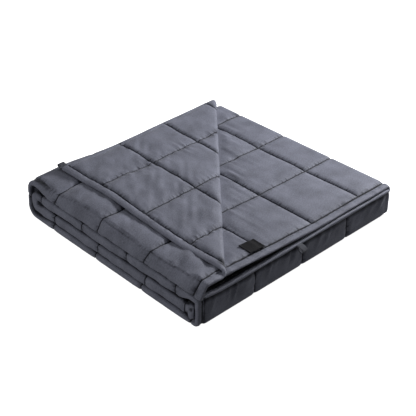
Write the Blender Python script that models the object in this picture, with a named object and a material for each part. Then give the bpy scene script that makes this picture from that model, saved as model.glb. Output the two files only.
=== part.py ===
"""A quilted weighted blanket, folded for the shelf.

The flat cloth is folded in thirds across its width, so that a strip of three plies is left,
and the strip is rolled up along its length in four quarters.  The free corner of the top ply
is turned back over the diagonal.  One function, sheet_point, takes a point of the flat cloth
to its place in the folded blanket, and the whole blanket is one closed mesh made with it.

Frame: metres, +Z up.  The smooth fold side of the thirds faces -Y, the hems face +X, and
the origin is under the middle of the whole, the loops included.  The folding is worked out
about the middle of the folded cloth alone, and main moves it last.
"across" is a length over the width of the flat cloth, from the free edge of the top ply.
"along" is a length over its long side, from the hem that shows.
"inset" is the distance of a folded point from the fold side, y + WIDTH / 2.
"run" is the distance of a folded point from the hem side, followed along the roll.
"""
import math

import bmesh
import bpy
import numpy as np

# Folded size
WIDTH = 0.500           # fold side to the opposite side, along Y
DEPTH = 0.475           # hem side to the rear side, along X
FRONT = DEPTH / 2
REAR = -DEPTH / 2

# Cloth thickness, as half thicknesses on both sides of its middle
HALF_FULL = 0.00235     # in the middle of a filled square
HALF_SEAM = 0.0011      # in a quilting seam
HALF_HEM = 0.0022
SEAM_SOFTNESS = 0.012   # how fast the filling rises beside a seam
CROWN = 0.0030          # extra rise of a square that nothing presses on
TURN_CROWN = 0.4        # the share of it in the front turn
BESIDE_CROWN = (0.035, 0.055)   # insets where it ends on the top ply under the turned corner
CREASE_FADE = (0.01, 0.04)      # distances from the crease over which it begins
TOP_END = (0.38, 0.43)          # runs where it ends towards the rear turn
TURN_FADE = 0.03                # and how fast it begins and ends in the front turn
PLY_MARGIN = 0.00275    # middle of a ply to the boundary of its strip
FLATTENED = 0.78        # the share of its half thickness that the underside keeps

# Height of one strip of three plies, and what each strip has over it along the fold side
STRIP = 0.0181
LOOSE = {"top": 0.0026, "bottom": -0.0026, "upper": 0.0049, "inner": 0.0039}
LOOSE_REACH = 0.035

# The turns of the roll, measured on the outermost ply
REAR_TURN = 0.020
REAR_REACH = 0.021
FRONT_TURN = 0.009
FRONT_REACH = 0.0175
TIGHTEST = 0.0027       # the sharpest bend of a ply
TURN_SQUEEZE = 0.90     # in a turn the plies lie this much closer, and closer still
REAR_PINCH = 0.45       # at the fold side, where only two of them are left
FRONT_PINCH = 0.55
INNER_PINCH = 0.80
BESIDE_FOLD = (0.004, 0.021)    # insets between which that ends
PINCH_REACH = 0.055     # the squeeze begins this far before a turn
FRONT_PINCH_REACH = 0.035
END_SWELL = 0.45        # the hidden end fills the roll this much more along the fold side
END_DROP = 0.0035
END_REACH = 0.045
FRONT_RISE = 0.001      # the front turn is this much fuller than the roll behind it
FRONT_RISE_REACH = 0.080
FRONT_BULGE = 0.001     # the front turn stands out this far beyond the hems
INNER_GAP = 0.0185      # rear face to the innermost turn
INNER_END = 0.0195      # hem side to the hidden end of the roll
SIDE_FILL = 0.0075      # along the fold side both of them reach this much further

# The two folds of the thirds
SIDE_FOLD = 0.0115      # reach of the smooth fold that shows
SIDE_LENGTH = 0.033
SIDE_SQUARENESS = 0.5   # 1 would be a round fold, 0 a square one
WALL_SLOPE = 1.6        # the same for the top strip's upper half, which leans out from its crease
WALL_FOOT = 2.3         # and the higher this is, the lower the wall reaches out furthest
WALL_FADE = (0.40, 0.46)        # runs over which the wall turns into a plain fold
WALL_OUT = 0.0075       # the crease lies this much further out than the start of a plain fold
WALL_OUT_END = 0.060    # inset where that is faded away
BACK_FOLD = 0.0027
TOP_EDGE = 0.497        # inset of the free edge of the top ply
HIDDEN_EDGE = 0.022     # inset of the free edge of the middle ply
BAND_INSET = {"top": 0.0035, "bottom": 0.0, "upper": 0.003, "inner": 0.001}
BAND_FADE = (0.01, 0.08)
HEM_DRAW = 0.005        # the hems stop this much short at the far corner
DRAW_REACH = 0.030
LOW_AHEAD = 0.004       # the lowest hem is this far ahead of the middle one

# The top ply lies askew: its hem is ahead of the others at the fold side, behind at the other
SKEW_START = -0.015
SKEW_RATE = 0.096
SKEW_FADE = (0.42, 0.62)

# Turned back corner: its crease runs from the hem to the free edge
CREASE_START = (0.055, -0.008)    # inset, run
CREASE_END = (0.495, 0.468)
CREASE_RADIUS = 0.0045
CORNER_REST = 0.0086    # height of the turned corner over the ply under it
CORNER_SETTLE = 0.070   # reached this far from the crease

# Rise of the top strip over its own rest height, by run at the fold side
SIDE_RISE = [(-0.02, 0.0165), (0.0, 0.0165), (0.095, 0.012), (0.228, 0.0168), (0.298, 0.0205),
             (0.39, 0.006), (0.4505, 0.0)]
# ... and how it fades with the inset
SIDE_RISE_FADE = [(0.0, 0.78), (0.03, 0.96), (0.057, 0.94), (0.131, 0.69), (0.218, 0.40),
                  (0.296, 0.12), (0.395, 0.03), (0.5, 0.0)]
# Rise of the hems over the roll, by inset, for the middle ply and the lowest one
HEM_RISE = [(0.0, 0.0016), (0.057, 0.0008), (0.131, 0.0), (0.296, 0.0), (0.395, 0.0014),
            (0.5, 0.0003)]
HEM_RISE_LOW = [(0.0, 0.0), (0.074, 0.0008), (0.3, 0.001), (0.4, 0.0012), (0.5, 0.0008)]
HEM_RISE_FADE = [(-0.02, 1.0), (0.0, 1.0), (0.04, 0.75), (0.127, 0.2), (0.2, 0.0)]
# Rise of the top ply where it goes over the rear turn, by inset
REAR_RISE = [(0.0, 0.0), (0.015, 0.0035), (0.05, 0.011), (0.08, 0.013), (0.16, 0.009),
             (0.25, 0.006), (0.40, 0.002), (0.5, 0.004)]
REAR_RISE_START = (0.28, 0.44)
MIDDLE_SAG = (0.01, 0.06)       # nearer to the fold side the middle ply rises half as much

# Quilting: (first seam, pitch, count) across each third, and along each strip
SEAMS_ACROSS = {"top": (0.104, 0.120, 3), "side": (0.4835, 0.1065, 2), "low": (0.712, 0.122, 3),
                "middle": (1.0785, 0.1285, 4)}
HEM = 0.021
SEAMS_ALONG = {"top": (0.021, 0.1257, 4), "rear": (0.4995, 0.1, 1),
               "bottom": (0.6025, 0.1257, 3), "front": (0.9777, 0.1, 1),
               "upper": (1.0953, 0.124, 4), "inner": (1.574, 0.126, 3), "end": (1.923, 0.1, 1)}
SEAM_SIDE = 0.012       # mesh lines this far beside a seam draw its trough
LOW_LINES = (0.010, 0.035)    # and on the lowest ply this far from the smooth fold
SNAP = 0.0008           # a crease line goes through mesh points nearer than this
SEAM_DRIFT = 0.0195     # the seams of the top ply drift this far until they reach the front turn
DRIFT_FIRST = (0.0, 0.09)       # widths over which the drift starts and ends
DRIFT_LAST = (0.36, 0.45)
SEAM_SLIP = 0.010       # beside the smooth fold the seams lie this much nearer to the hem side
SLIP_ACROSS = ((0.38, 0.46), (0.52, 0.60))      # where that begins and ends
SLIP_ALONG = ((0.02, 0.12), (0.40, 0.50))

# Sewn-on pieces
PIECE_GAP = 0.0004
LABEL_INSETS = (0.138, 0.174)
LABEL_RUNS = (0.0165, 0.045)
LABEL_THICK = 0.0008
TAPE_WIDTH = 0.0125
TAPE_THICK = 0.0009
LOOP_GAP = 0.0011       # the loop to the edge of the cloth that it is sewn under
LOOP_LENGTH = 0.0165
LOOP_OPENING = 0.0068
LOOP_ROOT = 0.0025      # the two ends of the tape lie together this far
CORNER_LOOP_ALONG = 0.0075
CORNER_LOOP_DROOP = math.radians(-9)
SIDE_LOOP_INSET = 0.236
SIDE_LOOP_DROOP = math.radians(24)
LOOP_STEPS = 24


# ---------------------------------------------------------------- small helpers

def smooth(start, stop, value):
    """0 before start, 1 after stop, an even S between."""
    u = np.clip((value - start) / (stop - start), 0.0, 1.0)
    return u * u * (3.0 - 2.0 * u)


def through(rows, value):
    """A smooth curve through rows of (place, height), level outside them."""
    place = np.array([row[0] for row in rows])
    height = np.array([row[1] for row in rows])
    slope = np.gradient(height, place)
    v = np.clip(value, place[0], place[-1])
    k = np.clip(np.searchsorted(place, v, side="right") - 1, 0, len(place) - 2)
    gap = place[k + 1] - place[k]
    u = (v - place[k]) / gap
    return (height[k] * (1 + 2 * u) * (1 - u) ** 2 + slope[k] * gap * u * (1 - u) ** 2
            + height[k + 1] * u * u * (3 - 2 * u) + slope[k + 1] * gap * u * u * (u - 1))


# ---------------------------------------------------------------- the roll

MID_STRIP = STRIP + 0.0004
REAR_X = REAR + REAR_REACH + HALF_FULL
FRONT_X = FRONT + FRONT_BULGE - FRONT_REACH - HALF_FULL
INNER_TURN = MID_STRIP - PLY_MARGIN
INNER_X = REAR + INNER_GAP + INNER_TURN + HALF_FULL
END_X = FRONT - INNER_END

# Lengths of the roll's stretches, from the hem that shows to the hidden one
RUN_TOP = FRONT - REAR_X
RUN_REAR = ((math.pi - 4) * REAR_TURN + 2 * REAR_REACH + 4 * MID_STRIP - 2 * PLY_MARGIN)
RUN_BOTTOM = FRONT_X - REAR_X
RUN_FRONT = ((math.pi - 4) * FRONT_TURN + 2 * FRONT_REACH + 3 * MID_STRIP - 2 * PLY_MARGIN
             + FRONT_RISE)
RUN_UPPER = FRONT_X - INNER_X
RUN_INNER = math.pi * INNER_TURN
RUN_LAST = END_X - INNER_X
STRETCHES = [RUN_TOP, RUN_REAR, RUN_BOTTOM, RUN_FRONT, RUN_UPPER, RUN_INNER, RUN_LAST]
STARTS = np.concatenate([[0.0], np.cumsum(STRETCHES)])
LENGTH = float(STARTS[-1])


def turn(share, z_from, z_to, x_start, way, reach, radius, depth):
    """A turn of the roll: flat, quarter round, upright, quarter round, flat.

    depth is how far inside the outermost ply it runs, and reach how far that ply reaches.
    """
    up = np.sign(z_to - z_from)
    bend = np.maximum(radius - depth, TIGHTEST)
    flat = np.maximum(reach - depth - bend, 0.0)
    upright = np.maximum(np.abs(z_to - z_from) - 2 * bend, 0.0)
    quarter = math.pi / 2 * bend
    done = share * (2 * flat + 2 * quarter + upright)
    out = np.clip(done, 0, flat)
    first = np.clip((done - flat) / bend, 0, math.pi / 2)
    climb = np.clip(done - flat - quarter, 0, upright)
    last = np.clip((done - flat - quarter - upright) / bend, 0, math.pi / 2)
    back = np.clip(done - flat - 2 * quarter - upright, 0, flat)
    x = x_start + way * (out + bend * np.sin(first) - bend * (1 - np.cos(last)) - back)
    z = z_from + up * (bend * (1 - np.cos(first)) + climb + bend * np.sin(last))
    return x, z


def by_strip(run, values):
    """A value for each strip, even along it and changing over the turns between them."""
    order = ("top", "top", "bottom", "bottom", "upper", "upper", "inner", "inner")
    return np.interp(run, STARTS, [values[name] for name in order])


def strip_height(run, inset):
    return STRIP + by_strip(run, LOOSE) * np.exp(-(inset / LOOSE_REACH) ** 2)


def squeeze(run, inset):
    """The share of their depth that the plies keep: less in the turns and near them."""
    rear = smooth(STARTS[1] - PINCH_REACH, STARTS[1], run) * (
        1 - smooth(STARTS[2], STARTS[2] + PINCH_REACH, run))
    front = smooth(STARTS[3] - FRONT_PINCH_REACH, STARTS[3], run) * (
        1 - smooth(STARTS[4], STARTS[4] + FRONT_PINCH_REACH, run))
    beside = smooth(*BESIDE_FOLD, inset)
    rear_share = REAR_PINCH + (TURN_SQUEEZE - REAR_PINCH) * beside
    front_share = FRONT_PINCH + (TURN_SQUEEZE - FRONT_PINCH) * beside
    inner = smooth(STARTS[5] - INNER_TURN, STARTS[5], run) * (
        1 - smooth(STARTS[6], STARTS[6] + INNER_TURN, run))
    inner_share = INNER_PINCH + (1 - INNER_PINCH) * beside
    end = END_SWELL * smooth(LENGTH - END_REACH, LENGTH, run) * (1 - beside)
    return (1 + end - rear * (1 - rear_share) - front * (1 - front_share)
            - inner * (1 - inner_share))


def roll_point(run, depth, inset, rise):
    """x and z of a point of the roll: depth under the outermost ply, rise on the top strip."""
    loose = np.exp(-(inset / LOOSE_REACH) ** 2)
    first = STRIP + LOOSE["bottom"] * loose
    third = 3 * STRIP + (LOOSE["bottom"] + LOOSE["inner"] + LOOSE["upper"]) * loose
    fourth = third + STRIP + LOOSE["top"] * loose
    upper_rise = FRONT_RISE * smooth(0.0, FRONT_RISE_REACH, inset)
    low = PLY_MARGIN + depth
    beside = smooth(*BESIDE_FOLD, inset)
    inner = first + PLY_MARGIN + depth - END_DROP * smooth(LENGTH - END_REACH, LENGTH, run) * (
        1 - beside)
    stretch = np.clip(np.searchsorted(STARTS, run, side="right") - 1, 0, len(STRETCHES) - 1)
    local = run - STARTS[stretch]
    share = np.clip(local / np.array(STRETCHES)[stretch], 0, 1)
    high = fourth - PLY_MARGIN - depth + rise
    near_front = 1 - smooth(0.0, FRONT_RISE_REACH, local)
    upper = third - PLY_MARGIN - depth
    rear = turn(share, high, low, REAR_X, -1, REAR_REACH, REAR_TURN, depth)
    front = turn(share, low, upper + upper_rise, FRONT_X, 1, FRONT_REACH, FRONT_TURN, depth)
    fill = SIDE_FILL * (1 - beside)
    innermost = turn(share, upper, inner, INNER_X, -1, INNER_TURN + fill, INNER_TURN, depth)
    last = INNER_X + local + fill * smooth(0.0, RUN_LAST, local)
    xs = [FRONT - run, rear[0], REAR_X + local, front[0], FRONT_X - local, innermost[0], last]
    zs = [high, rear[1], low, front[1], upper + upper_rise * near_front, innermost[1], inner]
    return np.choose(stretch, xs), np.choose(stretch, zs)


def band_inset(run, inset):
    """How far each strip's fold stands back from the fold side, faded away from it."""
    return by_strip(run, BAND_INSET) * (1 - smooth(*BAND_FADE, inset))


# ---------------------------------------------------------------- the thirds

NEAR = SIDE_FOLD + HALF_FULL                 # inset where the smooth fold starts
FAR = WIDTH - BACK_FOLD - HALF_FULL
ACROSS_TOP = TOP_EDGE - NEAR
ACROSS_SIDE = SIDE_LENGTH
ACROSS_LOW = FAR - NEAR
ACROSS_BACK = math.pi * BACK_FOLD
ACROSS_MIDDLE = FAR - HIDDEN_EDGE
THIRDS = np.concatenate([[0.0], np.cumsum(
    [ACROSS_TOP, ACROSS_SIDE, ACROSS_LOW, ACROSS_BACK, ACROSS_MIDDLE])])
SPAN = float(THIRDS[-1])

crease = np.subtract(CREASE_END, CREASE_START)
CREASE_LENGTH = float(np.hypot(*crease))
CREASE_WAY = crease / CREASE_LENGTH
CREASE_OUT = np.array([CREASE_WAY[1], -CREASE_WAY[0]])
CREASE_HALF = math.pi * CREASE_RADIUS / 2


def skew(inset, along):
    return (SKEW_START + SKEW_RATE * inset) * (1 - smooth(*SKEW_FADE, along))


def beyond_crease(inset, run):
    """Signed distance from the crease of the turned corner, plus towards that corner."""
    return ((inset - CREASE_START[0]) * CREASE_OUT[0]
            + (run - CREASE_START[1]) * CREASE_OUT[1])


def top_rise(run, inset):
    """Rise of the top, middle and lowest plies of the top strip."""
    side = through(SIDE_RISE, run) * through(SIDE_RISE_FADE, inset)
    hem = through(HEM_RISE_FADE, run)
    middle = (side + hem * through(HEM_RISE, inset)) * (0.5 + 0.5 * smooth(*MIDDLE_SAG, inset))
    top = side + hem * through(HEM_RISE, inset)
    top = top + smooth(*REAR_RISE_START, run) * through(REAR_RISE, inset)
    return top, middle, hem * through(HEM_RISE_LOW, inset)


def sheet_point(across, along):
    """The middle of the cloth, in its folded place, for a point of the flat cloth."""
    zone = np.clip(np.searchsorted(THIRDS, across, side="right") - 1, 0, 4)
    local = across - THIRDS[zone]
    angle = np.clip(local / np.diff(THIRDS)[zone], 0, 1) * math.pi
    wall = 1 - smooth(*WALL_FADE, along)
    square = SIDE_SQUARENESS + (WALL_SLOPE - SIDE_SQUARENESS) * wall * (angle < math.pi / 2)
    fullness = np.sign(np.cos(angle)) * np.abs(np.cos(angle)) ** square
    upright = ((1 + fullness) / 2) ** (1 + (WALL_FOOT - 1) * wall)
    insets = [TOP_EDGE - across,
              NEAR - SIDE_FOLD * np.sin(angle) ** square,
              NEAR + local, FAR + BACK_FOLD * np.sin(angle), FAR - local]
    inset = np.choose(zone, insets)

    toward = [1 - smooth(NEAR, WALL_OUT_END, inset), np.maximum(np.cos(angle), 0) ** 2, 0, 0, 0]
    outward = WALL_OUT * wall * np.choose(zone, toward)

    share_top = np.choose(zone, [1.0, upright, 0.0, 0.0, 0.0])
    share_low = np.choose(zone, [0.0, 1 - upright, 1.0, (1 + np.cos(angle)) / 2, 0.0])
    share_mid = 1 - share_top - share_low
    run = along + skew(inset, along) * share_top

    # Turn the corner of the top ply back: once round the crease, then flat over the ply
    out = beyond_crease(inset, run)
    turned = (zone == 0) & (out > -CREASE_HALF) & (along < RUN_TOP + RUN_REAR)
    bend = np.clip((out + CREASE_HALF) / CREASE_RADIUS, 0, math.pi)
    plan = np.where(out < CREASE_HALF, CREASE_RADIUS * np.sin(bend) - CREASE_HALF, -out)
    settle = smooth(CREASE_HALF, CORNER_SETTLE, out)
    height = CREASE_RADIUS * (1 - np.cos(bend)) + settle * (CORNER_REST - 2 * CREASE_RADIUS)
    move = np.where(turned, plan - out, 0.0)
    inset = inset + move * CREASE_OUT[0] - outward
    run = run + move * CREASE_OUT[1]

    low_depth = (strip_height(run, inset) - 2 * PLY_MARGIN) * squeeze(run, inset)
    depth = share_low * low_depth + share_mid * low_depth / 2 - np.where(turned, height, 0.0)
    rises = top_rise(run, inset)
    rise = share_top * rises[0] + share_mid * rises[1] + share_low * rises[2]
    x, z = roll_point(run, depth, inset, rise)
    y = inset - WIDTH / 2 + band_inset(run, inset)
    at_hem = 1 - smooth(0.0, DRAW_REACH, along)
    x = x + LOW_AHEAD * share_low * at_hem
    y = y - HEM_DRAW * (zone > 1) * at_hem * smooth(WIDTH - 2 * DRAW_REACH, WIDTH, inset)
    return np.stack([x, y, z], axis=-1)


def sheet_normal(across, along):
    """Outwards on the top ply, down on the lowest, up on the middle one."""
    step = 0.0004
    d_across = sheet_point(across + step, along) - sheet_point(across - step, along)
    d_along = sheet_point(across, along + step) - sheet_point(across, along - step)
    normal = np.cross(d_along, d_across)
    return normal / np.linalg.norm(normal, axis=-1, keepdims=True)


# ---------------------------------------------------------------- quilting

def across_seams():
    seams = []
    for first, pitch, count in SEAMS_ACROSS.values():
        seams += [first + pitch * k for k in range(count)]
    return np.array([s for s in seams if s < SPAN - 0.01])


def along_seams():
    return np.concatenate([first + pitch * np.arange(count)
                           for first, pitch, count in SEAMS_ALONG.values()])


def seam_drift(across, along):
    """Where the quilting of the top ply lies by then, less where it started."""
    inside = smooth(*DRIFT_FIRST, across) * (1 - smooth(*DRIFT_LAST, across))
    return SEAM_DRIFT * inside * smooth(STARTS[1], STARTS[3], along)


def seam_slip(across, along):
    """How far the seams over the width are bent towards the hem side, at the smooth fold."""
    beside = smooth(*SLIP_ACROSS[0], across) * (1 - smooth(*SLIP_ACROSS[1], across))
    return SEAM_SLIP * beside * smooth(*SLIP_ALONG[0], along) * (
        1 - smooth(*SLIP_ALONG[1], along))


def rise_beside(value, seams):
    """0 in a seam, near 1 away from every seam."""
    gap = np.min(np.abs(np.asarray(value)[..., None] - seams), axis=-1)
    return 1 - np.exp(-gap / SEAM_SOFTNESS)


def filling(across, along):
    """How full the cloth is: 0 in a seam, near 1 in the middle of a square."""
    return np.minimum(rise_beside(across, across_seams()), rise_beside(along, along_seams()))


def half_thickness(across, along):
    fill = filling(across, along)
    half = HALF_SEAM + (HALF_FULL - HALF_SEAM) * fill
    edge = np.minimum(along, LENGTH - along)
    return np.where(edge < HEM - 0.003, HALF_HEM, half)


def crown(across, along, side):
    """Extra rise on the faces that nothing presses on, for the face on that side."""
    fill = filling(across, along)
    zone = np.clip(np.searchsorted(THIRDS, across, side="right") - 1, 0, 4)
    inset = np.where(zone == 0, TOP_EDGE - across, FAR - (across - THIRDS[4]))
    run = along + np.where(zone == 0, skew(inset, along), 0.0)
    out = beyond_crease(inset, run)
    on_top = smooth(HEM, 2 * HEM, along) * (1 - smooth(*TOP_END, along))
    laid_open = smooth(*CREASE_FADE, out)
    if side < 0:
        free = (zone == 0) * laid_open * on_top
    else:
        in_turn = smooth(STARTS[3], STARTS[3] + TURN_FADE, along) * (
            1 - smooth(STARTS[4] - TURN_FADE, STARTS[4], along))
        free = (zone == 4) * laid_open * on_top
        free = free + (zone == 0) * (1 - smooth(*BESIDE_CROWN, inset)) * on_top
        free = free + (zone == 0) * TURN_CROWN * in_turn
    return CROWN * fill * free


def on_floor(points):
    """Lowers the model until its underside is shaved flat by the floor."""
    points[:, 2] = np.maximum(points[:, 2] - PLY_MARGIN + HALF_FULL * FLATTENED, 0.0)
    return points


# ---------------------------------------------------------------- mesh of the blanket

def lines_between(stops, beside):
    """Mesh lines: every stop, the middle of every gap, and lines beside each stop."""
    lines = []
    for a, b in zip(stops[:-1], stops[1:]):
        lines.append(a)
        if beside and b - a > 4 * SEAM_SIDE:
            lines += [a + SEAM_SIDE, (a + b) / 2, b - SEAM_SIDE]
        elif b - a > 0.03:
            lines.append((a + b) / 2)
    return lines + [stops[-1]]


def near_any(value, others, reach):
    return any(abs(value - other) < reach for other in others)


def even(start, stop, parts):
    return [start + (stop - start) * k / parts for k in range(parts + 1)]


def across_lines(fine_top, fine_middle):
    """Mesh lines over the width: fine on the plies that show, coarse on the hidden ones."""
    top_fold, low_start, low_end, middle_start = THIRDS[1:5]
    seams = across_seams()
    folds = even(top_fold, low_start, 6) + even(low_end, middle_start, 4)
    top = [0.0, *[s for s in seams if s < top_fold - 0.01], top_fold]
    low = [low_start, *[low_start + gap for gap in LOW_LINES],
           *[s for s in seams if low_start < s < low_end], low_end]
    middle = [middle_start, *[s for s in seams if s > middle_start], SPAN]
    lines = lines_between(top, fine_top) + folds + low + lines_between(middle, fine_middle)
    return sorted(set(np.round(lines, 6)))


def along_lines():
    """Mesh lines over the length: fine where squares show, and in the turns."""
    seams = [float(s) for s in along_seams()]
    top = lines_between([0.0, *[s for s in seams if s < STARTS[1] - 0.01], STARTS[1]], True)
    bottom = [s for s in seams if STARTS[2] < s < STARTS[3]]
    bottom += [s + side for s in bottom for side in (-SEAM_SIDE, SEAM_SIDE)]
    turns = even(STARTS[1], STARTS[2], 8) + even(STARTS[3], STARTS[4], 7) + even(
        STARTS[5], STARTS[6], 6)
    rest = lines_between([s for s in seams if s > STARTS[3]] + [LENGTH], False)
    keep = [s for s in bottom + rest if not near_any(s, turns, 0.008)
            and not STARTS[1] < s < STARTS[2] and not STARTS[3] < s < STARTS[4]
            and not STARTS[5] < s < STARTS[6]]
    return sorted(set(np.round(top + turns + keep, 6)))


def flat_mesh():
    """The flat cloth as one bmesh of cells; rows meet where their lines differ in n-gons."""
    bm = bmesh.new()
    t_lines = along_lines()
    on_top, outside, inside = across_lines(True, True), across_lines(True, False), across_lines(
        False, False)
    rows = []
    for a, b in zip(t_lines[:-1], t_lines[1:]):
        middle = (a + b) / 2
        rows.append(on_top if middle < STARTS[1] else outside if middle < STARTS[4] else inside)
    verts = {}

    def vert(across, along):
        if (across, along) not in verts:
            verts[across, along] = bm.verts.new((across, along, 0.0))
        return verts[across, along]

    for i, row in enumerate(rows):
        below = sorted(set(row) | set(rows[max(i - 1, 0)]))
        above = sorted(set(row) | set(rows[min(i + 1, len(rows) - 1)]))
        for a, b in zip(row[:-1], row[1:]):
            start = [vert(s, t_lines[i]) for s in below if a <= s <= b]
            end = [vert(s, t_lines[i + 1]) for s in above if a <= s <= b]
            bm.faces.new(start + end[::-1])
    cut_crease(bm)
    return bm


def cut_crease(bm):
    """Adds mesh lines along the crease of the turned corner, so that it bends round."""
    normal = np.array([-CREASE_OUT[0] - CREASE_OUT[1] * SKEW_RATE, CREASE_OUT[1], 0.0])
    size = np.linalg.norm(normal)
    # A point of the crease in flat lengths
    inset, run = CREASE_START
    start = np.array([TOP_EDGE - inset, run - SKEW_START - SKEW_RATE * inset, 0.0])
    for shift in (-CREASE_HALF, -CREASE_HALF / 2, 0.0, CREASE_HALF / 2, CREASE_HALF):
        faces = [f for f in bm.faces
                 if f.calc_center_median().x < THIRDS[1] and f.calc_center_median().y < STARTS[2]]
        geom = faces + list({e for f in faces for e in f.edges}) + list(
            {v for f in faces for v in f.verts})
        bmesh.ops.bisect_plane(bm, geom=geom, dist=SNAP, plane_no=normal / size,
                               plane_co=start + normal * shift / size ** 2)


def blanket_mesh():
    """The folded blanket: both faces of the cloth and the edge between them."""
    bm = flat_mesh()
    bm.verts.ensure_lookup_table()
    flat = np.array([v.co[:2] for v in bm.verts])
    faces = [[v.index for v in f.verts] for f in bm.faces]
    rim = [[e.verts[0].index, e.verts[1].index] for e in bm.edges if len(e.link_faces) == 1]
    owner = {}
    for face in faces:
        for a, b in zip(face, face[1:] + face[:1]):
            owner[(a, b)] = True
    bm.free()

    laid = flat[:, 0] + seam_drift(flat[:, 0], flat[:, 1])
    behind = flat[:, 1] - seam_slip(flat[:, 0], flat[:, 1])
    middle = sheet_point(laid, behind)
    normal = sheet_normal(laid, behind)
    pressed = np.minimum(squeeze(behind, middle[:, 1] + WIDTH / 2), 1)
    half = half_thickness(flat[:, 0], flat[:, 1])
    above = (half + crown(flat[:, 0], flat[:, 1], 1)) * pressed
    below = (half + crown(flat[:, 0], flat[:, 1], -1)) * pressed
    outer = middle + normal * above[:, None]
    inner = middle - normal * below[:, None]
    points = on_floor(np.concatenate([outer, inner]))
    count = len(flat)

    # The flat cells run anticlockwise over (across, along), which faces inwards when folded
    polygons = [face[::-1] for face in faces]
    polygons += [[count + v for v in face] for face in faces]
    for a, b in rim:
        if (a, b) not in owner:
            a, b = b, a
        polygons.append([a, b, count + b, count + a])
    return points, polygons


# ---------------------------------------------------------------- label and loops

def label_mesh():
    """A flat woven label on the middle ply, its front edge in the hem seam."""
    insets = even(*LABEL_INSETS, 4)
    runs = [LABEL_RUNS[0], HEM, HEM + SEAM_SIDE, LABEL_RUNS[1]]
    across = np.array([THIRDS[4] + FAR - i for _ in runs for i in insets])
    along = np.array([r for r in runs for _ in insets])
    fill = rise_beside(along, along_seams())
    puff = HALF_SEAM + (HALF_FULL - HALF_SEAM) * fill + CROWN * fill * smooth(HEM, 2 * HEM, along)
    base = np.maximum(HALF_HEM, puff) + PIECE_GAP
    middle = sheet_point(across, along)
    normal = sheet_normal(across, along)
    points = np.concatenate([middle + normal * base[:, None],
                             middle + normal * (base + LABEL_THICK)[:, None]])
    return on_floor(points), slab_polygons(len(insets), len(runs))


def slab_polygons(columns, rows):
    """Faces of a slab whose lower grid of points comes first, then its upper grid."""
    count = columns * rows
    cell = [(r * columns + c, r * columns + c + 1, (r + 1) * columns + c + 1,
             (r + 1) * columns + c) for r in range(rows - 1) for c in range(columns - 1)]
    rim = ([(c, c + 1) for c in range(columns - 1)]
           + [(r * columns + columns - 1, (r + 1) * columns + columns - 1)
              for r in range(rows - 1)]
           + [(count - 1 - c, count - 2 - c) for c in range(columns - 1)]
           + [((rows - 1 - r) * columns, (rows - 2 - r) * columns) for r in range(rows - 1)])
    polygons = [quad[::-1] for quad in cell]
    polygons += [tuple(count + v for v in quad) for quad in cell]
    polygons += [(a, b, count + b, count + a) for a, b in rim]
    return polygons


def loop_mesh(root, out, side, droop):
    """A loop of tape: a drop-shaped ring across its width, hanging from root towards out."""
    up = np.cross(out, side)
    up = up if up[2] > 0 else -up
    hang = out * math.cos(droop) - up * math.sin(droop)
    lift = up * math.cos(droop) + out * math.sin(droop)
    angle = (np.arange(LOOP_STEPS) + 0.5) * 2 * math.pi / LOOP_STEPS
    drop = np.sin(angle) * np.sin(angle / 2) ** 0.7
    drop = drop / np.max(drop)
    root_height = 0.6 * TAPE_THICK * np.sign(drop) * np.cos(angle / 2) ** 2
    end = LOOP_LENGTH - TAPE_THICK
    hole = (LOOP_ROOT + (end - LOOP_ROOT) * (1 - np.cos(angle)) / 2, LOOP_OPENING / 2 * drop)
    skin = (LOOP_LENGTH * (1 - np.cos(angle)) / 2,
            (LOOP_OPENING / 2 + TAPE_THICK) * drop + root_height)
    points = [root + hang * reach + lift * height + side * shift
              for ring in (hole, skin) for shift in (-TAPE_WIDTH / 2, TAPE_WIDTH / 2)
              for reach, height in zip(*ring)]
    polygons = []
    inner_a, inner_b, outer_a, outer_b = (k * LOOP_STEPS for k in range(4))
    for k in range(LOOP_STEPS):
        n = (k + 1) % LOOP_STEPS
        polygons += [(inner_a + k, inner_a + n, inner_b + n, inner_b + k),
                     (outer_a + n, outer_a + k, outer_b + k, outer_b + n),
                     (inner_a + n, inner_a + k, outer_a + k, outer_a + n),
                     (inner_b + k, inner_b + n, outer_b + n, outer_b + k)]
    return on_floor(np.array(points)), polygons


def loop_root(across, along, outward):
    """A place just off the cloth's edge, the way out of it there and the way along the edge."""
    step = 0.001
    place = sheet_point(np.array([across]), np.array([along]))[0]
    by_across = sheet_point(np.array([across + step]), np.array([along]))[0] - place
    by_along = sheet_point(np.array([across]), np.array([along + step]))[0] - place
    out, side = (-by_across, by_along) if outward == "across" else (-by_along, by_across)
    out = out / np.linalg.norm(out)
    side = side - out * np.dot(side, out)
    return place + out * LOOP_GAP, out, side / np.linalg.norm(side)


# ---------------------------------------------------------------- objects

def material(name, colour, roughness):
    mat = bpy.data.materials.new(name)
    mat.use_nodes = True
    bsdf = mat.node_tree.nodes["Principled BSDF"]
    bsdf.inputs["Base Color"].default_value = (*colour, 1.0)
    bsdf.inputs["Roughness"].default_value = roughness
    bsdf.inputs["Metallic"].default_value = 0.0
    return mat


def add_object(name, points, polygons, mat):
    mesh = bpy.data.meshes.new(name)
    mesh.from_pydata([tuple(p) for p in points], [], polygons)
    mesh.materials.append(mat)
    bm = bmesh.new()
    bm.from_mesh(mesh)
    bmesh.ops.recalc_face_normals(bm, faces=bm.faces)
    bm.to_mesh(mesh)
    bm.free()
    obj = bpy.data.objects.new(name, mesh)
    bpy.context.scene.collection.objects.link(obj)
    return obj


def clear_scene():
    for obj in list(bpy.data.objects):
        bpy.data.objects.remove(obj, do_unlink=True)


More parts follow.
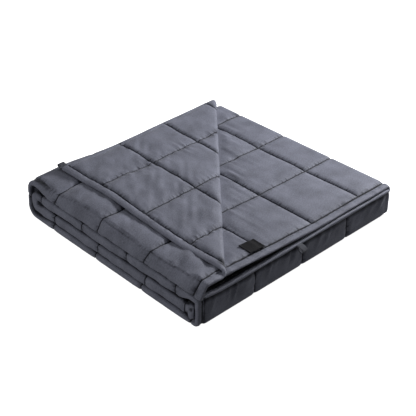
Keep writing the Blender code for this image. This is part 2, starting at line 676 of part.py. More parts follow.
def main():
    clear_scene()
    cloth = material("slate_cotton", (0.075, 0.079, 0.105), 0.85)
    tape = material("slate_tape", (0.065, 0.068, 0.088), 0.8)
    black = material("black_label", (0.012, 0.012, 0.015), 0.6)
    side_across = THIRDS[2] + SIDE_LOOP_INSET - NEAR
    corner = loop_root(0.0, CORNER_LOOP_ALONG, "across")
    side = loop_root(side_across, 0.0, "along")
    pieces = {"blanket": (*blanket_mesh(), cloth),
              "label": (*label_mesh(), black),
              "loop_corner": (*loop_mesh(*corner, CORNER_LOOP_DROOP), tape),
              "loop_side": (*loop_mesh(*side, SIDE_LOOP_DROOP), tape)}

    # The origin is under the middle of the box around all the pieces
    every = np.concatenate([points for points, _, _ in pieces.values()])
    centre = (every.min(axis=0) + every.max(axis=0)) / 2
    for name, (points, polygons, mat) in pieces.items():
        add_object(name, points - [centre[0], centre[1], 0.0], polygons, mat)


main()
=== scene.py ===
"""Looks of the folded weighted blanket: quilted slate cotton, black label, tape loops.

The cloth is folded by the same rule as its solid: sheet_point takes a point of the flat cloth,
given as across and along, to its place in the folded blanket.  On top of that rule come the
filling of the squares, the troughs of the seams, puckers, hems and wrinkles, all of them
heights on the flat cloth that push its two faces outwards.

"across" is a length over the width of the flat cloth, from the free edge of the top ply.
"along" is a length over its long side, from the hem that shows.
"inset" is the distance of a folded point from the smooth fold side, which faces -Y.
"run" is the distance of a folded point from the hem side, followed along the roll.
The "flap" is the corner of the top ply that is turned back, and the "bed" is the ply it bares.
"""

import math

import bpy
import numpy as np
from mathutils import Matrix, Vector

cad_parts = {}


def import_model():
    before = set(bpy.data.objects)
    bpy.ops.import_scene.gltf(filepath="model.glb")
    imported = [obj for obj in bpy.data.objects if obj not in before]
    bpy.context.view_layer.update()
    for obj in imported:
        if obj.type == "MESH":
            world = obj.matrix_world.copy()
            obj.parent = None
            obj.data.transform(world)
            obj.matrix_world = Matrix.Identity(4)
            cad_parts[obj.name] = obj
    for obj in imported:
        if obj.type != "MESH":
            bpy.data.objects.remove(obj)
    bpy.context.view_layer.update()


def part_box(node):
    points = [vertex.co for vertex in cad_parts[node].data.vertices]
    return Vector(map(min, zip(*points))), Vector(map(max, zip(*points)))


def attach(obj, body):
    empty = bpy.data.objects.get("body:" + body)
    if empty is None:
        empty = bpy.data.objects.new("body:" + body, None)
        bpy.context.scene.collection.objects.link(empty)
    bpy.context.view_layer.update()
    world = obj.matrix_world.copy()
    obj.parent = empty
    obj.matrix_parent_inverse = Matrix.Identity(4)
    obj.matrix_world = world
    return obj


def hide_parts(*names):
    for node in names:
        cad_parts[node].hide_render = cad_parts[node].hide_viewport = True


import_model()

# ---------------------------------------------------------------- sizes, in metres

WIDTH = 0.500           # fold side to the opposite side, along Y
DEPTH = 0.475           # hem side to the rear side, along X
FRONT = DEPTH / 2
REAR = -DEPTH / 2

HALF_FULL = 0.00235     # half thickness of the cloth in the middle of a square
HALF_SEAM = 0.0011      # the same in a seam
HALF_HEM = 0.0022
PLY_MARGIN = 0.00275    # middle of a ply to the boundary of its strip
FLATTENED = 0.78        # the share of its half thickness that the underside keeps

# Height of a strip of three plies, and what each strip has over it along the fold side
STRIP = 0.0181
MEAN_SLACK = 0.0004     # what the slack adds to a strip on average over the width
LOOSE = {"top": 0.0026, "bottom": -0.0026, "upper": 0.0049, "inner": 0.0039}
LOOSE_REACH = 0.035

# The turns of the roll, measured on the outermost ply
REAR_TURN = 0.020
REAR_REACH = 0.021
FRONT_TURN = 0.009
FRONT_REACH = 0.0175
TIGHTEST = 0.0027       # the sharpest bend of a ply
TURN_SQUEEZE = 0.90     # in a turn the plies lie this much closer, and closer still
REAR_PINCH = 0.45       # at the fold side, where only two of them are left
FRONT_PINCH = 0.55
INNER_PINCH = 0.80
BESIDE_FOLD = (0.004, 0.021)    # insets between which that ends
PINCH_REACH = 0.055     # the squeeze begins this far before a turn
FRONT_PINCH_REACH = 0.035
END_SWELL = 0.45        # the hidden end fills the roll this much more along the fold side
END_DROP = 0.0035
END_REACH = 0.045
FRONT_RISE = 0.001      # the front turn is this much fuller than the roll behind it
FRONT_RISE_REACH = 0.080
FRONT_BULGE = 0.001     # and stands out this far beyond the hems
INNER_GAP = 0.0185      # rear face to the innermost turn
INNER_END = 0.0195      # hem side to the hidden end of the roll
SIDE_FILL = 0.0075      # along the fold side both of them reach this much further

# The two folds of the thirds
SIDE_FOLD = 0.0115      # reach of the smooth fold that shows
SIDE_LENGTH = 0.033
SIDE_SQUARENESS = 0.5   # 1 would be a round fold, 0 a square one
WALL_SLOPE = 1.6        # the same for the top strip's upper half, which leans out from its crease
WALL_FOOT = 2.3         # and the higher this is, the lower the wall reaches out furthest
WALL_FADE = (0.40, 0.46)        # lengths over which the wall turns into a plain fold
WALL_OUT = 0.0075       # the crease lies this much further out than the start of a plain fold
WALL_OUT_END = 0.060    # inset where that is faded away
BACK_FOLD = 0.0027
TOP_EDGE = 0.497        # inset of the free edge of the top ply
HIDDEN_EDGE = 0.022     # inset of the free edge of the middle ply
BAND_INSET = {"top": 0.0035, "bottom": 0.0, "upper": 0.003, "inner": 0.001}
BAND_FADE = (0.01, 0.08)
HEM_DRAW = 0.005        # the hems stop this much short at the far corner
DRAW_REACH = 0.030
LOW_AHEAD = 0.004       # the lowest hem is this far ahead of the middle one

# The top ply lies askew: its hem is ahead of the others at the fold side, behind at the other
SKEW_START = -0.015
SKEW_RATE = 0.096
SKEW_FADE = (0.42, 0.62)

# Turned back corner: its crease runs from the hem to the free edge, given as inset and run
CREASE_START = (0.055, -0.008)
CREASE_END = (0.495, 0.468)
CREASE_RADIUS = 0.0045
CORNER_REST = 0.0086    # height of the turned corner over the ply under it
CORNER_SETTLE = 0.070   # reached this far from the crease

# Heights over the roll, in rows of (run or inset, height or share)
SIDE_RISE = [(-0.02, 0.0165), (0.0, 0.0165), (0.095, 0.012), (0.228, 0.0168), (0.298, 0.0205),
             (0.39, 0.006), (0.4505, 0.0)]
SIDE_RISE_FADE = [(0.0, 0.78), (0.03, 0.96), (0.057, 0.94), (0.131, 0.69), (0.218, 0.40),
                  (0.296, 0.12), (0.395, 0.03), (0.5, 0.0)]
HEM_RISE = [(0.0, 0.0016), (0.057, 0.0008), (0.131, 0.0), (0.296, 0.0), (0.395, 0.0014),
            (0.5, 0.0003)]
HEM_RISE_LOW = [(0.0, 0.0), (0.074, 0.0008), (0.3, 0.001), (0.4, 0.0012), (0.5, 0.0008)]
HEM_RISE_FADE = [(-0.02, 1.0), (0.0, 1.0), (0.04, 0.75), (0.127, 0.2), (0.2, 0.0)]
REAR_RISE = [(0.0, 0.0), (0.015, 0.0035), (0.05, 0.011), (0.08, 0.013), (0.16, 0.009),
             (0.25, 0.006), (0.40, 0.002), (0.5, 0.004)]
REAR_RISE_START = (0.28, 0.44)
MIDDLE_SAG = (0.01, 0.06)

# Quilting: (first seam, pitch, count) across each third, and along each strip
SEAMS_ACROSS = {"top": (0.104, 0.120, 3), "side": (0.4835, 0.1065, 2), "low": (0.712, 0.122, 3),
                "middle": (1.0785, 0.1285, 4)}
HEM = 0.0155            # width of the hem that shows, up to its own seam
SEAMS_ALONG = {"hem": (HEM, 0.1, 1), "top": (0.1467, 0.1257, 3), "rear": (0.4995, 0.1, 1),
               "bottom": (0.6025, 0.1257, 3), "front": (0.9777, 0.1, 1),
               "upper": (1.0953, 0.124, 4), "inner": (1.574, 0.126, 3), "end": (1.923, 0.1, 1)}
SEAM_DRIFT = 0.0195     # the seams of the top ply drift this far until they reach the front turn
DRIFT_FIRST = (0.0, 0.09)       # widths over which the drift starts and ends
DRIFT_LAST = (0.36, 0.45)
SEAM_SLIP = 0.010       # beside the smooth fold the seams lie this much nearer to the hem side
SLIP_ACROSS = ((0.38, 0.46), (0.52, 0.60))      # where that begins and ends
SLIP_ALONG = ((0.02, 0.12), (0.40, 0.50))

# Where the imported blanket's rear face is, less where the folding puts it
REAR_FACE = -0.2375
SHIFT = np.array([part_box("blanket")[0].x - REAR_FACE, 0.0, HALF_FULL * FLATTENED - PLY_MARGIN])


# ---------------------------------------------------------------- helpers

LATTICE = 64            # points of the noise over each way, after which it repeats


def smooth(start, stop, value):
    """0 before start, 1 after stop, an even S between: 3 u squared less 2 u cubed."""
    u = np.clip((value - start) / (stop - start), 0.0, 1.0)
    return u * u * (3.0 - 2.0 * u)


def through(rows, value):
    """A smooth curve through rows of (place, height), level outside them.

    Between two rows it is the cubic that has both heights, and the slope at each row that
    its neighbours give.
    """
    place = np.array([row[0] for row in rows])
    height = np.array([row[1] for row in rows])
    slope = np.gradient(height, place)
    v = np.clip(value, place[0], place[-1])
    k = np.clip(np.searchsorted(place, v, side="right") - 1, 0, len(place) - 2)
    gap = place[k + 1] - place[k]
    u = (v - place[k]) / gap
    return (height[k] * (1 + 2 * u) * (1 - u) ** 2 + slope[k] * gap * u * (1 - u) ** 2
            + height[k + 1] * u * u * (3 - 2 * u) + slope[k + 1] * gap * u * u * (u - 1))


def soft_noise(u, v, seed):
    """Noise in -1..1: random heights on a lattice one unit apart, read smoothly between."""
    table = np.random.default_rng(seed).uniform(-1.0, 1.0, (LATTICE, LATTICE))
    i, j = np.floor(u).astype(int), np.floor(v).astype(int)
    a, b = smooth(0.0, 1.0, u - i), smooth(0.0, 1.0, v - j)
    i0, i1 = i % LATTICE, (i + 1) % LATTICE
    j0, j1 = j % LATTICE, (j + 1) % LATTICE
    near = table[i0, j0] * (1 - a) + table[i1, j0] * a
    far = table[i0, j1] * (1 - a) + table[i1, j1] * a
    return near * (1 - b) + far * b


# ---------------------------------------------------------------- the folding rule

MID_STRIP = STRIP + MEAN_SLACK
REAR_X = REAR + REAR_REACH + HALF_FULL
FRONT_X = FRONT + FRONT_BULGE - FRONT_REACH - HALF_FULL
INNER_TURN = MID_STRIP - PLY_MARGIN
INNER_X = REAR + INNER_GAP + INNER_TURN + HALF_FULL
END_X = FRONT - INNER_END

RUN_TOP = FRONT - REAR_X
RUN_REAR = (math.pi - 4) * REAR_TURN + 2 * REAR_REACH + 4 * MID_STRIP - 2 * PLY_MARGIN
RUN_BOTTOM = FRONT_X - REAR_X
RUN_FRONT = ((math.pi - 4) * FRONT_TURN + 2 * FRONT_REACH + 3 * MID_STRIP - 2 * PLY_MARGIN
             + FRONT_RISE)
RUN_UPPER = FRONT_X - INNER_X
RUN_INNER = math.pi * INNER_TURN
RUN_LAST = END_X - INNER_X
STRETCHES = [RUN_TOP, RUN_REAR, RUN_BOTTOM, RUN_FRONT, RUN_UPPER, RUN_INNER, RUN_LAST]
STARTS = np.concatenate([[0.0], np.cumsum(STRETCHES)])
LENGTH = float(STARTS[-1])


def turn(share, z_from, z_to, x_start, way, reach, radius, depth):
    """A turn of the roll: flat, quarter round, upright, quarter round, flat.

    share is how much of its length is done.  Each of the five stretches takes its part of
    that length, and x and z are the sums of what the stretches add: a straight one its own
    length, a quarter circle the sine of its angle one way and 1 less the cosine the other.
    """
    up = np.sign(z_to - z_from)
    bend = np.maximum(radius - depth, TIGHTEST)
    flat = np.maximum(reach - depth - bend, 0.0)
    upright = np.maximum(np.abs(z_to - z_from) - 2 * bend, 0.0)
    quarter = math.pi / 2 * bend
    done = share * (2 * flat + 2 * quarter + upright)
    out = np.clip(done, 0, flat)
    first = np.clip((done - flat) / bend, 0, math.pi / 2)
    climb = np.clip(done - flat - quarter, 0, upright)
    last = np.clip((done - flat - quarter - upright) / bend, 0, math.pi / 2)
    back = np.clip(done - flat - 2 * quarter - upright, 0, flat)
    x = x_start + way * (out + bend * np.sin(first) - bend * (1 - np.cos(last)) - back)
    z = z_from + up * (bend * (1 - np.cos(first)) + climb + bend * np.sin(last))
    return x, z


def by_strip(run, values):
    """A value for each strip, even along it and changing over the turns between them."""
    order = ("top", "top", "bottom", "bottom", "upper", "upper", "inner", "inner")
    return np.interp(run, STARTS, [values[name] for name in order])


def strip_height(run, inset):
    """The height of a strip, and its slack, which dies away from the fold side as a bell."""
    return STRIP + by_strip(run, LOOSE) * np.exp(-(inset / LOOSE_REACH) ** 2)


def squeeze(run, inset):
    """The share of their depth that the plies keep: less in the turns and near them.

    1, and less what each turn takes: a bump over its run, times what it takes at this inset.
    """
    rear = smooth(STARTS[1] - PINCH_REACH, STARTS[1], run) * (
        1 - smooth(STARTS[2], STARTS[2] + PINCH_REACH, run))
    front = smooth(STARTS[3] - FRONT_PINCH_REACH, STARTS[3], run) * (
        1 - smooth(STARTS[4], STARTS[4] + FRONT_PINCH_REACH, run))
    beside = smooth(*BESIDE_FOLD, inset)
    rear_share = REAR_PINCH + (TURN_SQUEEZE - REAR_PINCH) * beside
    front_share = FRONT_PINCH + (TURN_SQUEEZE - FRONT_PINCH) * beside
    inner = smooth(STARTS[5] - INNER_TURN, STARTS[5], run) * (
        1 - smooth(STARTS[6], STARTS[6] + INNER_TURN, run))
    inner_share = INNER_PINCH + (1 - INNER_PINCH) * beside
    end = END_SWELL * smooth(LENGTH - END_REACH, LENGTH, run) * (1 - beside)
    return (1 + end - rear * (1 - rear_share) - front * (1 - front_share)
            - inner * (1 - inner_share))


def roll_point(run, depth, inset, rise):
    """x and z of a point of the roll: depth under the outermost ply, rise on the top strip.

    The seven stretches of the run are worked out for every point, and each point takes the
    one it is in.  In a straight stretch x goes on by the length run, and z is level.
    """
    loose = np.exp(-(inset / LOOSE_REACH) ** 2)
    first = STRIP + LOOSE["bottom"] * loose
    third = 3 * STRIP + (LOOSE["bottom"] + LOOSE["inner"] + LOOSE["upper"]) * loose
    fourth = third + STRIP + LOOSE["top"] * loose
    upper_rise = FRONT_RISE * smooth(0.0, FRONT_RISE_REACH, inset)
    low = PLY_MARGIN + depth
    beside = smooth(*BESIDE_FOLD, inset)
    inner = first + PLY_MARGIN + depth - END_DROP * smooth(LENGTH - END_REACH, LENGTH, run) * (
        1 - beside)
    stretch = np.clip(np.searchsorted(STARTS, run, side="right") - 1, 0, len(STRETCHES) - 1)
    local = run - STARTS[stretch]
    share = np.clip(local / np.array(STRETCHES)[stretch], 0, 1)
    high = fourth - PLY_MARGIN - depth + rise
    near_front = 1 - smooth(0.0, FRONT_RISE_REACH, local)
    upper = third - PLY_MARGIN - depth
    rear = turn(share, high, low, REAR_X, -1, REAR_REACH, REAR_TURN, depth)
    front = turn(share, low, upper + upper_rise, FRONT_X, 1, FRONT_REACH, FRONT_TURN, depth)
    fill = SIDE_FILL * (1 - beside)
    innermost = turn(share, upper, inner, INNER_X, -1, INNER_TURN + fill, INNER_TURN, depth)
    last = INNER_X + local + fill * smooth(0.0, RUN_LAST, local)
    xs = [FRONT - run, rear[0], REAR_X + local, front[0], FRONT_X - local, innermost[0], last]
    zs = [high, rear[1], low, front[1], upper + upper_rise * near_front, innermost[1], inner]
    return np.choose(stretch, xs), np.choose(stretch, zs)


def band_inset(run, inset):
    """How far each strip's fold stands back from the fold side, faded away from it."""
    return by_strip(run, BAND_INSET) * (1 - smooth(*BAND_FADE, inset))


NEAR = SIDE_FOLD + HALF_FULL
FAR = WIDTH - BACK_FOLD - HALF_FULL
ACROSS_TOP = TOP_EDGE - NEAR
ACROSS_SIDE = SIDE_LENGTH
ACROSS_LOW = FAR - NEAR
ACROSS_BACK = math.pi * BACK_FOLD
ACROSS_MIDDLE = FAR - HIDDEN_EDGE
THIRDS = np.concatenate([[0.0], np.cumsum(
    [ACROSS_TOP, ACROSS_SIDE, ACROSS_LOW, ACROSS_BACK, ACROSS_MIDDLE])])
SPAN = float(THIRDS[-1])

crease = np.subtract(CREASE_END, CREASE_START)
CREASE_WAY = crease / np.hypot(*crease)
CREASE_OUT = np.array([CREASE_WAY[1], -CREASE_WAY[0]])
CREASE_HALF = math.pi * CREASE_RADIUS / 2


def skew(inset, along):
    """How far the top ply is ahead: a straight line over the inset, faded over the length."""
    return (SKEW_START + SKEW_RATE * inset) * (1 - smooth(*SKEW_FADE, along))


def beyond_crease(inset, run):
    """Signed distance from the crease of the turned corner, plus towards that corner.

    The offset from the start of the crease, times the unit vector square to the crease.
    """
    return ((inset - CREASE_START[0]) * CREASE_OUT[0]
            + (run - CREASE_START[1]) * CREASE_OUT[1])


def top_rise(run, inset):
    """Rise of the top, middle and lowest plies of the top strip.

    Each is a sum of a few products: a curve over the run times a curve over the inset.
    """
    side = through(SIDE_RISE, run) * through(SIDE_RISE_FADE, inset)
    hem = through(HEM_RISE_FADE, run)
    middle = (side + hem * through(HEM_RISE, inset)) * (0.5 + 0.5 * smooth(*MIDDLE_SAG, inset))
    top = side + hem * through(HEM_RISE, inset)
    top = top + smooth(*REAR_RISE_START, run) * through(REAR_RISE, inset)
    return top, middle, hem * through(HEM_RISE_LOW, inset)


def zone_of(across):
    """0 to 4 over the width: top ply, smooth fold, lowest ply, back fold, middle ply."""
    return np.clip(np.searchsorted(THIRDS, across, side="right") - 1, 0, 4)


def sheet_point(across, along):
    """The middle of the cloth, in its folded place, for a point of the flat cloth.

    First the thirds: the inset goes out over the top ply, round the smooth fold by a power
    of the sine, back over the lowest ply, round the back fold and out over the middle ply.
    share_top, share_low and share_mid say how much of a point is in each ply, and its depth
    in the strip is the sum of the plies' depths times these shares.  Then the turned corner
    is laid over, and roll_point carries run and depth round the roll.
    """
    zone = zone_of(across)
    local = across - THIRDS[zone]
    angle = np.clip(local / np.diff(THIRDS)[zone], 0, 1) * math.pi
    wall = 1 - smooth(*WALL_FADE, along)
    square = SIDE_SQUARENESS + (WALL_SLOPE - SIDE_SQUARENESS) * wall * (angle < math.pi / 2)
    fullness = np.sign(np.cos(angle)) * np.abs(np.cos(angle)) ** square
    upright = ((1 + fullness) / 2) ** (1 + (WALL_FOOT - 1) * wall)
    insets = [TOP_EDGE - across,
              NEAR - SIDE_FOLD * np.sin(angle) ** square,
              NEAR + local, FAR + BACK_FOLD * np.sin(angle), FAR - local]
    inset = np.choose(zone, insets)

    toward = [1 - smooth(NEAR, WALL_OUT_END, inset), np.maximum(np.cos(angle), 0) ** 2, 0, 0, 0]
    outward = WALL_OUT * wall * np.choose(zone, toward)

    share_top = np.choose(zone, [1.0, upright, 0.0, 0.0, 0.0])
    share_low = np.choose(zone, [0.0, 1 - upright, 1.0, (1 + np.cos(angle)) / 2, 0.0])
    share_mid = 1 - share_top - share_low
    run = along + skew(inset, along) * share_top

    # Turn the corner of the top ply back: once round the crease, then flat over the ply
    out = beyond_crease(inset, run)
    turned = (zone == 0) & (out > -CREASE_HALF) & (along < RUN_TOP + RUN_REAR)
    bend = np.clip((out + CREASE_HALF) / CREASE_RADIUS, 0, math.pi)
    plan = np.where(out < CREASE_HALF, CREASE_RADIUS * np.sin(bend) - CREASE_HALF, -out)
    settle = smooth(CREASE_HALF, CORNER_SETTLE, out)
    height = CREASE_RADIUS * (1 - np.cos(bend)) + settle * (CORNER_REST - 2 * CREASE_RADIUS)
    move = np.where(turned, plan - out, 0.0)
    inset = inset + move * CREASE_OUT[0] - outward
    run = run + move * CREASE_OUT[1]

    low_depth = (strip_height(run, inset) - 2 * PLY_MARGIN) * squeeze(run, inset)
    depth = share_low * low_depth + share_mid * low_depth / 2 - np.where(turned, height, 0.0)
    rises = top_rise(run, inset)
    rise = share_top * rises[0] + share_mid * rises[1] + share_low * rises[2]
    x, z = roll_point(run, depth, inset, rise)
    y = inset - WIDTH / 2 + band_inset(run, inset)
    at_hem = 1 - smooth(0.0, DRAW_REACH, along)
    x = x + LOW_AHEAD * share_low * at_hem
    y = y - HEM_DRAW * (zone > 1) * at_hem * smooth(WIDTH - 2 * DRAW_REACH, WIDTH, inset)
    return np.stack([x, y, z], axis=-1)


def sheet_normal(across, along):
    """Outwards on the top ply, down on the lowest, up on the middle one.

    The cross product of a small step along and one across, each taken to both sides.
    """
    step = 0.0004
    d_across = sheet_point(across + step, along) - sheet_point(across - step, along)
    d_along = sheet_point(across, along + step) - sheet_point(across, along - step)
    normal = np.cross(d_along, d_across)
    return normal / np.linalg.norm(normal, axis=-1, keepdims=True)


# ---------------------------------------------------------------- quilting

SEAM_PULL = 0.0026      # the first, steep part of the rise beside a seam
PILLOW_REACH = 0.014    # and the slow part of it
STEEP_SHARE = 0.56
CROWN = 0.0022          # rise of a square that nothing presses on
SIDE_CROWN = 0.0034     # the same on the top strip beside the flap
CREASE_DIP = (0.010, 0.040)     # it starts this far behind the fold side
TURN_CROWN = 0.0012     # the same in the front turn
HEM_ROLL = 0.0016       # a hem is this much thicker in its middle
HEM_FULLNESS = 0.7      # power of the sine that gives its roll
GROOVE = 0.0016         # the thread pulls this narrow trough into the seam
GROOVE_REACH = 0.0020
SIDE_HEM = 0.0065       # the long sides of the cloth have a narrow hem
SIDE_HEM_LIFT = 0.0002
STITCH_ROW = HEM - 0.0018       # the row of topstitching of a hem, from its edge
STITCH_TROUGH = 0.0012
STITCH_REACH = 0.0015
TURN_TOP = (0.015, 0.045)       # heights over which the folds of the front turn begin
CRUMPLE_REACH = 0.040   # the inner end of the roll is crumpled this far
CRUMPLE_INSETS = (0.010, 0.025) # insets over which that fades

# Surfaces that show, and where each begins or ends
SHOWS_FROM_CREASE = (0.0, 0.02) # distances from the crease of the turned corner
TOP_END = (0.38, 0.43)          # lengths over which the squares of the top stop rising freely
TOP_MARGIN = 0.02       # flap and bed go on this far into the rear turn
STRIP_INSETS = (0.06, 0.10)     # the top strip ends over these, under the turned corner
FRONT_MARGIN = 0.01     # the front turn counts from this far before it to this far behind it
TURNED_FADE = (0.02, 0.006)     # its outer face begins over the first, ends over the second

# Places darkened by painted shade, where little light comes, from where each begins to where it is
# darkest
FOLD_SHADE = (0.70, 0.97)       # shares of the way round the smooth fold
FRONT_SHADE_LATER = 0.21        # and that much later in the front turn
CREASE_FADE = (0.36, 0.46)      # lengths over which the crease of the top strip ends
CREASE_WIDTH = 0.02
BETWEEN_SHADE = (0.0015, 0.006) # between the middle and the lowest hem
LIP_SHADE = (-0.026, -0.015)    # under the overhanging hem, before the end of the front turn
INSIDE_SHADE = (0.004, 0.008)   # inside the folds, behind the edge of the hem
CRUMPLE_SHADE = (0.05, 0.45)    # shares of the depth of the crumples

# Waves of the cloth: (height, spacing of its lattice over u, and over v, seed)
WAVES = {
    "crumpled end": (0.0030, 0.0075, 0.010, 23),
    "hem drawn in": (0.0006, 0.0075, 0.024, 17),
    "hem lumps": (0.0005, 0.028, 0.024, 18),
    "drag lines": (0.0020, 0.0075, 0.045, 7),
    "soft flap": (0.0015, 0.050, 0.034, 11),
    "soft bed": (0.0009, 0.034, 0.060, 12),
    "worn flap": (0.0012, 0.013, 0.040, 13),
    "even flap": (0.0003, 0.013, 0.040, 13),
    "askew strip": (0.0009, 0.013, 0.040, 14),
    "slack strip": (0.0060, 0.030, 0.024, 37),
    "wall slanting": (0.0010, 0.020, 0.013, 29),
    "wall finer": (0.0006, 0.0085, 0.016, 31),
    "front folds": (0.0034, 0.0080, 0.030, 19),
}
# Heights of the puckers beside a seam, on each surface
PUCKERS_ACROSS = {"cloth": 0.0004, "flap": 0.0046, "bed": 0.0010, "strip": 0.0016, "wall": 0.0006}
PUCKERS_ALONG = {"cloth": 0.0004, "flap": 0.0018, "bed": 0.0030, "strip": 0.0016}
# ... and (spacing, reach from the seam, seed)
PUCKER_ACROSS = (0.0070, 0.014, 3)
PUCKER_ALONG = (0.0055, 0.010, 5)
PUFF_MIDDLE = 0.35      # the middle value of a pucker's noise
PUFF_START = 0.0015     # a pucker has half its height this far from the seam
DRAG_REACH = 0.035      # the drag lines fade this fast from the flap
DRAG_START = 0.01
WORN_END = (0.10, 0.28)         # the flap is worn near its hem
SLACK_END = (0.08, 0.16)        # and the top strip slack
WALL_HEIGHTS = (0.008, 0.022)   # heights over which the waves of the wall begin

across_seams = np.concatenate([first + pitch * np.arange(count)
                               for first, pitch, count in SEAMS_ACROSS.values()])
across_seams = across_seams[across_seams < SPAN - 0.01]
along_seams = np.concatenate([first + pitch * np.arange(count)
                              for first, pitch, count in SEAMS_ALONG.values()])


def wave(name, u, v):
    """A named wave of the cloth: its height times the noise at u and v over its spacings."""
    height, by_u, by_v, seed = WAVES[name]
    return height * soft_noise(u / by_u, v / by_v, seed)


def seam_drift(across, along):
    """Where the quilting of the top ply lies by then, less where it started."""
    inside = smooth(*DRIFT_FIRST, across) * (1 - smooth(*DRIFT_LAST, across))
    return SEAM_DRIFT * inside * smooth(STARTS[1], STARTS[3], along)


def seam_slip(across, along):
    """How far the seams over the width are bent towards the hem side, at the smooth fold."""
    beside = smooth(*SLIP_ACROSS[0], across) * (1 - smooth(*SLIP_ACROSS[1], across))
    return SEAM_SLIP * beside * smooth(*SLIP_ALONG[0], along) * (
        1 - smooth(*SLIP_ALONG[1], along))


def nearest(value, seams):
    """Distance to the nearest seam, and which seam that is."""
    gaps = np.abs(value[..., None] - seams)
    return gaps.min(axis=-1), gaps.argmin(axis=-1)


def swell(gap, open_face):
    """Rise of the filling beside a seam: a steep lip, then a long slope where nothing presses.

    A sum of two curves, each 1 less a falling exponential of the distance, with their shares.
    """
    steep = 1 - (1 - STEEP_SHARE) * open_face
    return steep * (1 - np.exp(-gap / SEAM_PULL)) + (1 - steep) * (1 - np.exp(-gap / PILLOW_REACH))


class Place:
    """What the relief needs to know about points of the flat cloth on one of its faces."""

    def __init__(self, across, along, side):
        self.across, self.along = across, along
        self.zone = zone_of(across)
        self.gap_a, self.seam_a = nearest(across, across_seams)
        self.gap_l, self.seam_l = nearest(along, along_seams)
        self.hem = np.minimum(along, LENGTH - along)
        self.edge = np.minimum(across, SPAN - across)
        middle = sheet_point(across + seam_drift(across, along),
                             along - seam_slip(across, along))
        self.inset = middle[..., 1] + WIDTH / 2
        self.height = middle[..., 2]
        flat_inset = np.where(self.zone == 0, TOP_EDGE - across, FAR - (across - THIRDS[4]))
        run = along + np.where(self.zone == 0, skew(flat_inset, along), 0.0)
        self.out = beyond_crease(flat_inset, run)

        # Which of the surfaces that show a point belongs to, each from 0 to 1
        past_hem = smooth(HEM, 2 * HEM, along)
        upper, under = side > 0, side < 0
        top_stretch = along < STARTS[1] + TOP_MARGIN
        turned_back = smooth(*SHOWS_FROM_CREASE, self.out) * top_stretch
        self.flap = (self.zone == 0) * under * turned_back
        self.bed = (self.zone == 4) * upper * turned_back
        self.free = np.maximum(self.flap, self.bed) * past_hem * (1 - smooth(*TOP_END, along))
        top_crease = 1 - smooth(*WALL_FADE, along)
        self.strip = (self.zone == 0) * upper * (1 - smooth(*STRIP_INSETS, flat_inset)) * top_crease
        self.wall = (self.zone == 1) * upper * 1.0
        front, front_end = STARTS[3], STARTS[4]
        in_front = smooth(front - FRONT_MARGIN, front, along) * (
            1 - smooth(front_end, front_end + FRONT_MARGIN, along))
        self.on_crease = (np.abs(across - THIRDS[1]) < CREASE_WIDTH) * np.maximum(
            1 - smooth(*CREASE_FADE, along), in_front)
        self.turned = (self.zone == 0) * upper * smooth(front, front + TURNED_FADE[0], along) * (
            1 - smooth(front_end - TURNED_FADE[1], front_end, along))
        self.crumpled = (wave("crumpled end", across, along)
                         * smooth(LENGTH - CRUMPLE_REACH, LENGTH - HEM, along)
                         * (1 - smooth(*CRUMPLE_INSETS, self.inset)))

        # Painted shade darkens the foot of the smooth fold, the cloth between the hems and under
        # the one that overhangs, where little light comes
        round_fold = np.clip((across - THIRDS[1]) / ACROSS_SIDE, 0.0, 1.0)
        first = FOLD_SHADE[0] + FRONT_SHADE_LATER * in_front
        foot = smooth(first, FOLD_SHADE[1], round_fold)
        head = smooth(first, FOLD_SHADE[1], 1 - round_fold) * (1 - top_crease)
        hollow = -self.crumpled / WAVES["crumpled end"][0]
        self.painted_crevice_shade = np.maximum.reduce([
            self.wall * np.maximum(foot, head),
            under * (self.zone == 4) * (1 - past_hem),
            upper * (self.zone == 2) * smooth(*BETWEEN_SHADE, along) * top_stretch,
            self.turned * smooth(*np.add(front_end, LIP_SHADE), along),
            under * (self.zone < 4) * smooth(*INSIDE_SHADE, along) * (1 - past_hem) * (
                1 - self.flap),
            smooth(*CRUMPLE_SHADE, hollow)])


def relief(place):
    """How far a face stands off the middle of the cloth, in the folded blanket.

    The half thickness goes from that of a seam to that of a full square as the filling
    rises beside both seams, and turns into that of a hem near an edge.  Crown, waves and
    the roll of the hem are added.  Each groove and row of stitching takes away a bell curve
    of the distance to it.
    """
    open_face = np.clip(place.free + place.strip, 0.0, 1.0)
    fill = swell(place.gap_a, open_face) * swell(place.gap_l, open_face)
    half = HALF_SEAM + (HALF_FULL - HALF_SEAM) * fill
    on_strip = place.strip * smooth(HEM, 2 * HEM, place.along) * smooth(
        *CREASE_DIP, place.inset)
    crown = (CROWN * place.free + SIDE_CROWN * on_strip + TURN_CROWN * place.turned) * fill

    groove = GROOVE * (np.exp(-(place.gap_a / GROOVE_REACH) ** 2)
                       + np.exp(-(place.gap_l / GROOVE_REACH) ** 2))
    in_hem = (place.hem < HEM - 0.002) | (place.edge < SIDE_HEM)
    level = np.minimum(smooth(HEM - 0.003, HEM, place.hem),
                       smooth(SIDE_HEM - 0.002, SIDE_HEM, place.edge))
    half = HALF_HEM + (half - HALF_HEM) * level
    crown = crown * smooth(SIDE_HEM, 3 * SIDE_HEM, place.edge)
    groove = np.where(in_hem, 0.0, groove)
    # A hem is rolled: thickest in its middle, drawn in by its stitching on both sides
    roll = np.sin(math.pi * np.clip(place.hem / HEM, 0.0, 1.0)) ** HEM_FULLNESS
    half = half + HEM_ROLL * roll * (place.hem < HEM)
    stitched = np.exp(-((place.hem - STITCH_ROW) / STITCH_REACH) ** 2)
    stitched = stitched + np.exp(-((place.edge - SIDE_HEM) / STITCH_REACH) ** 2)
    folds = np.where(in_hem, hem_waves(place), wrinkles(place)) + place.crumpled
    return half + crown + folds - groove - STITCH_TROUGH * stitched


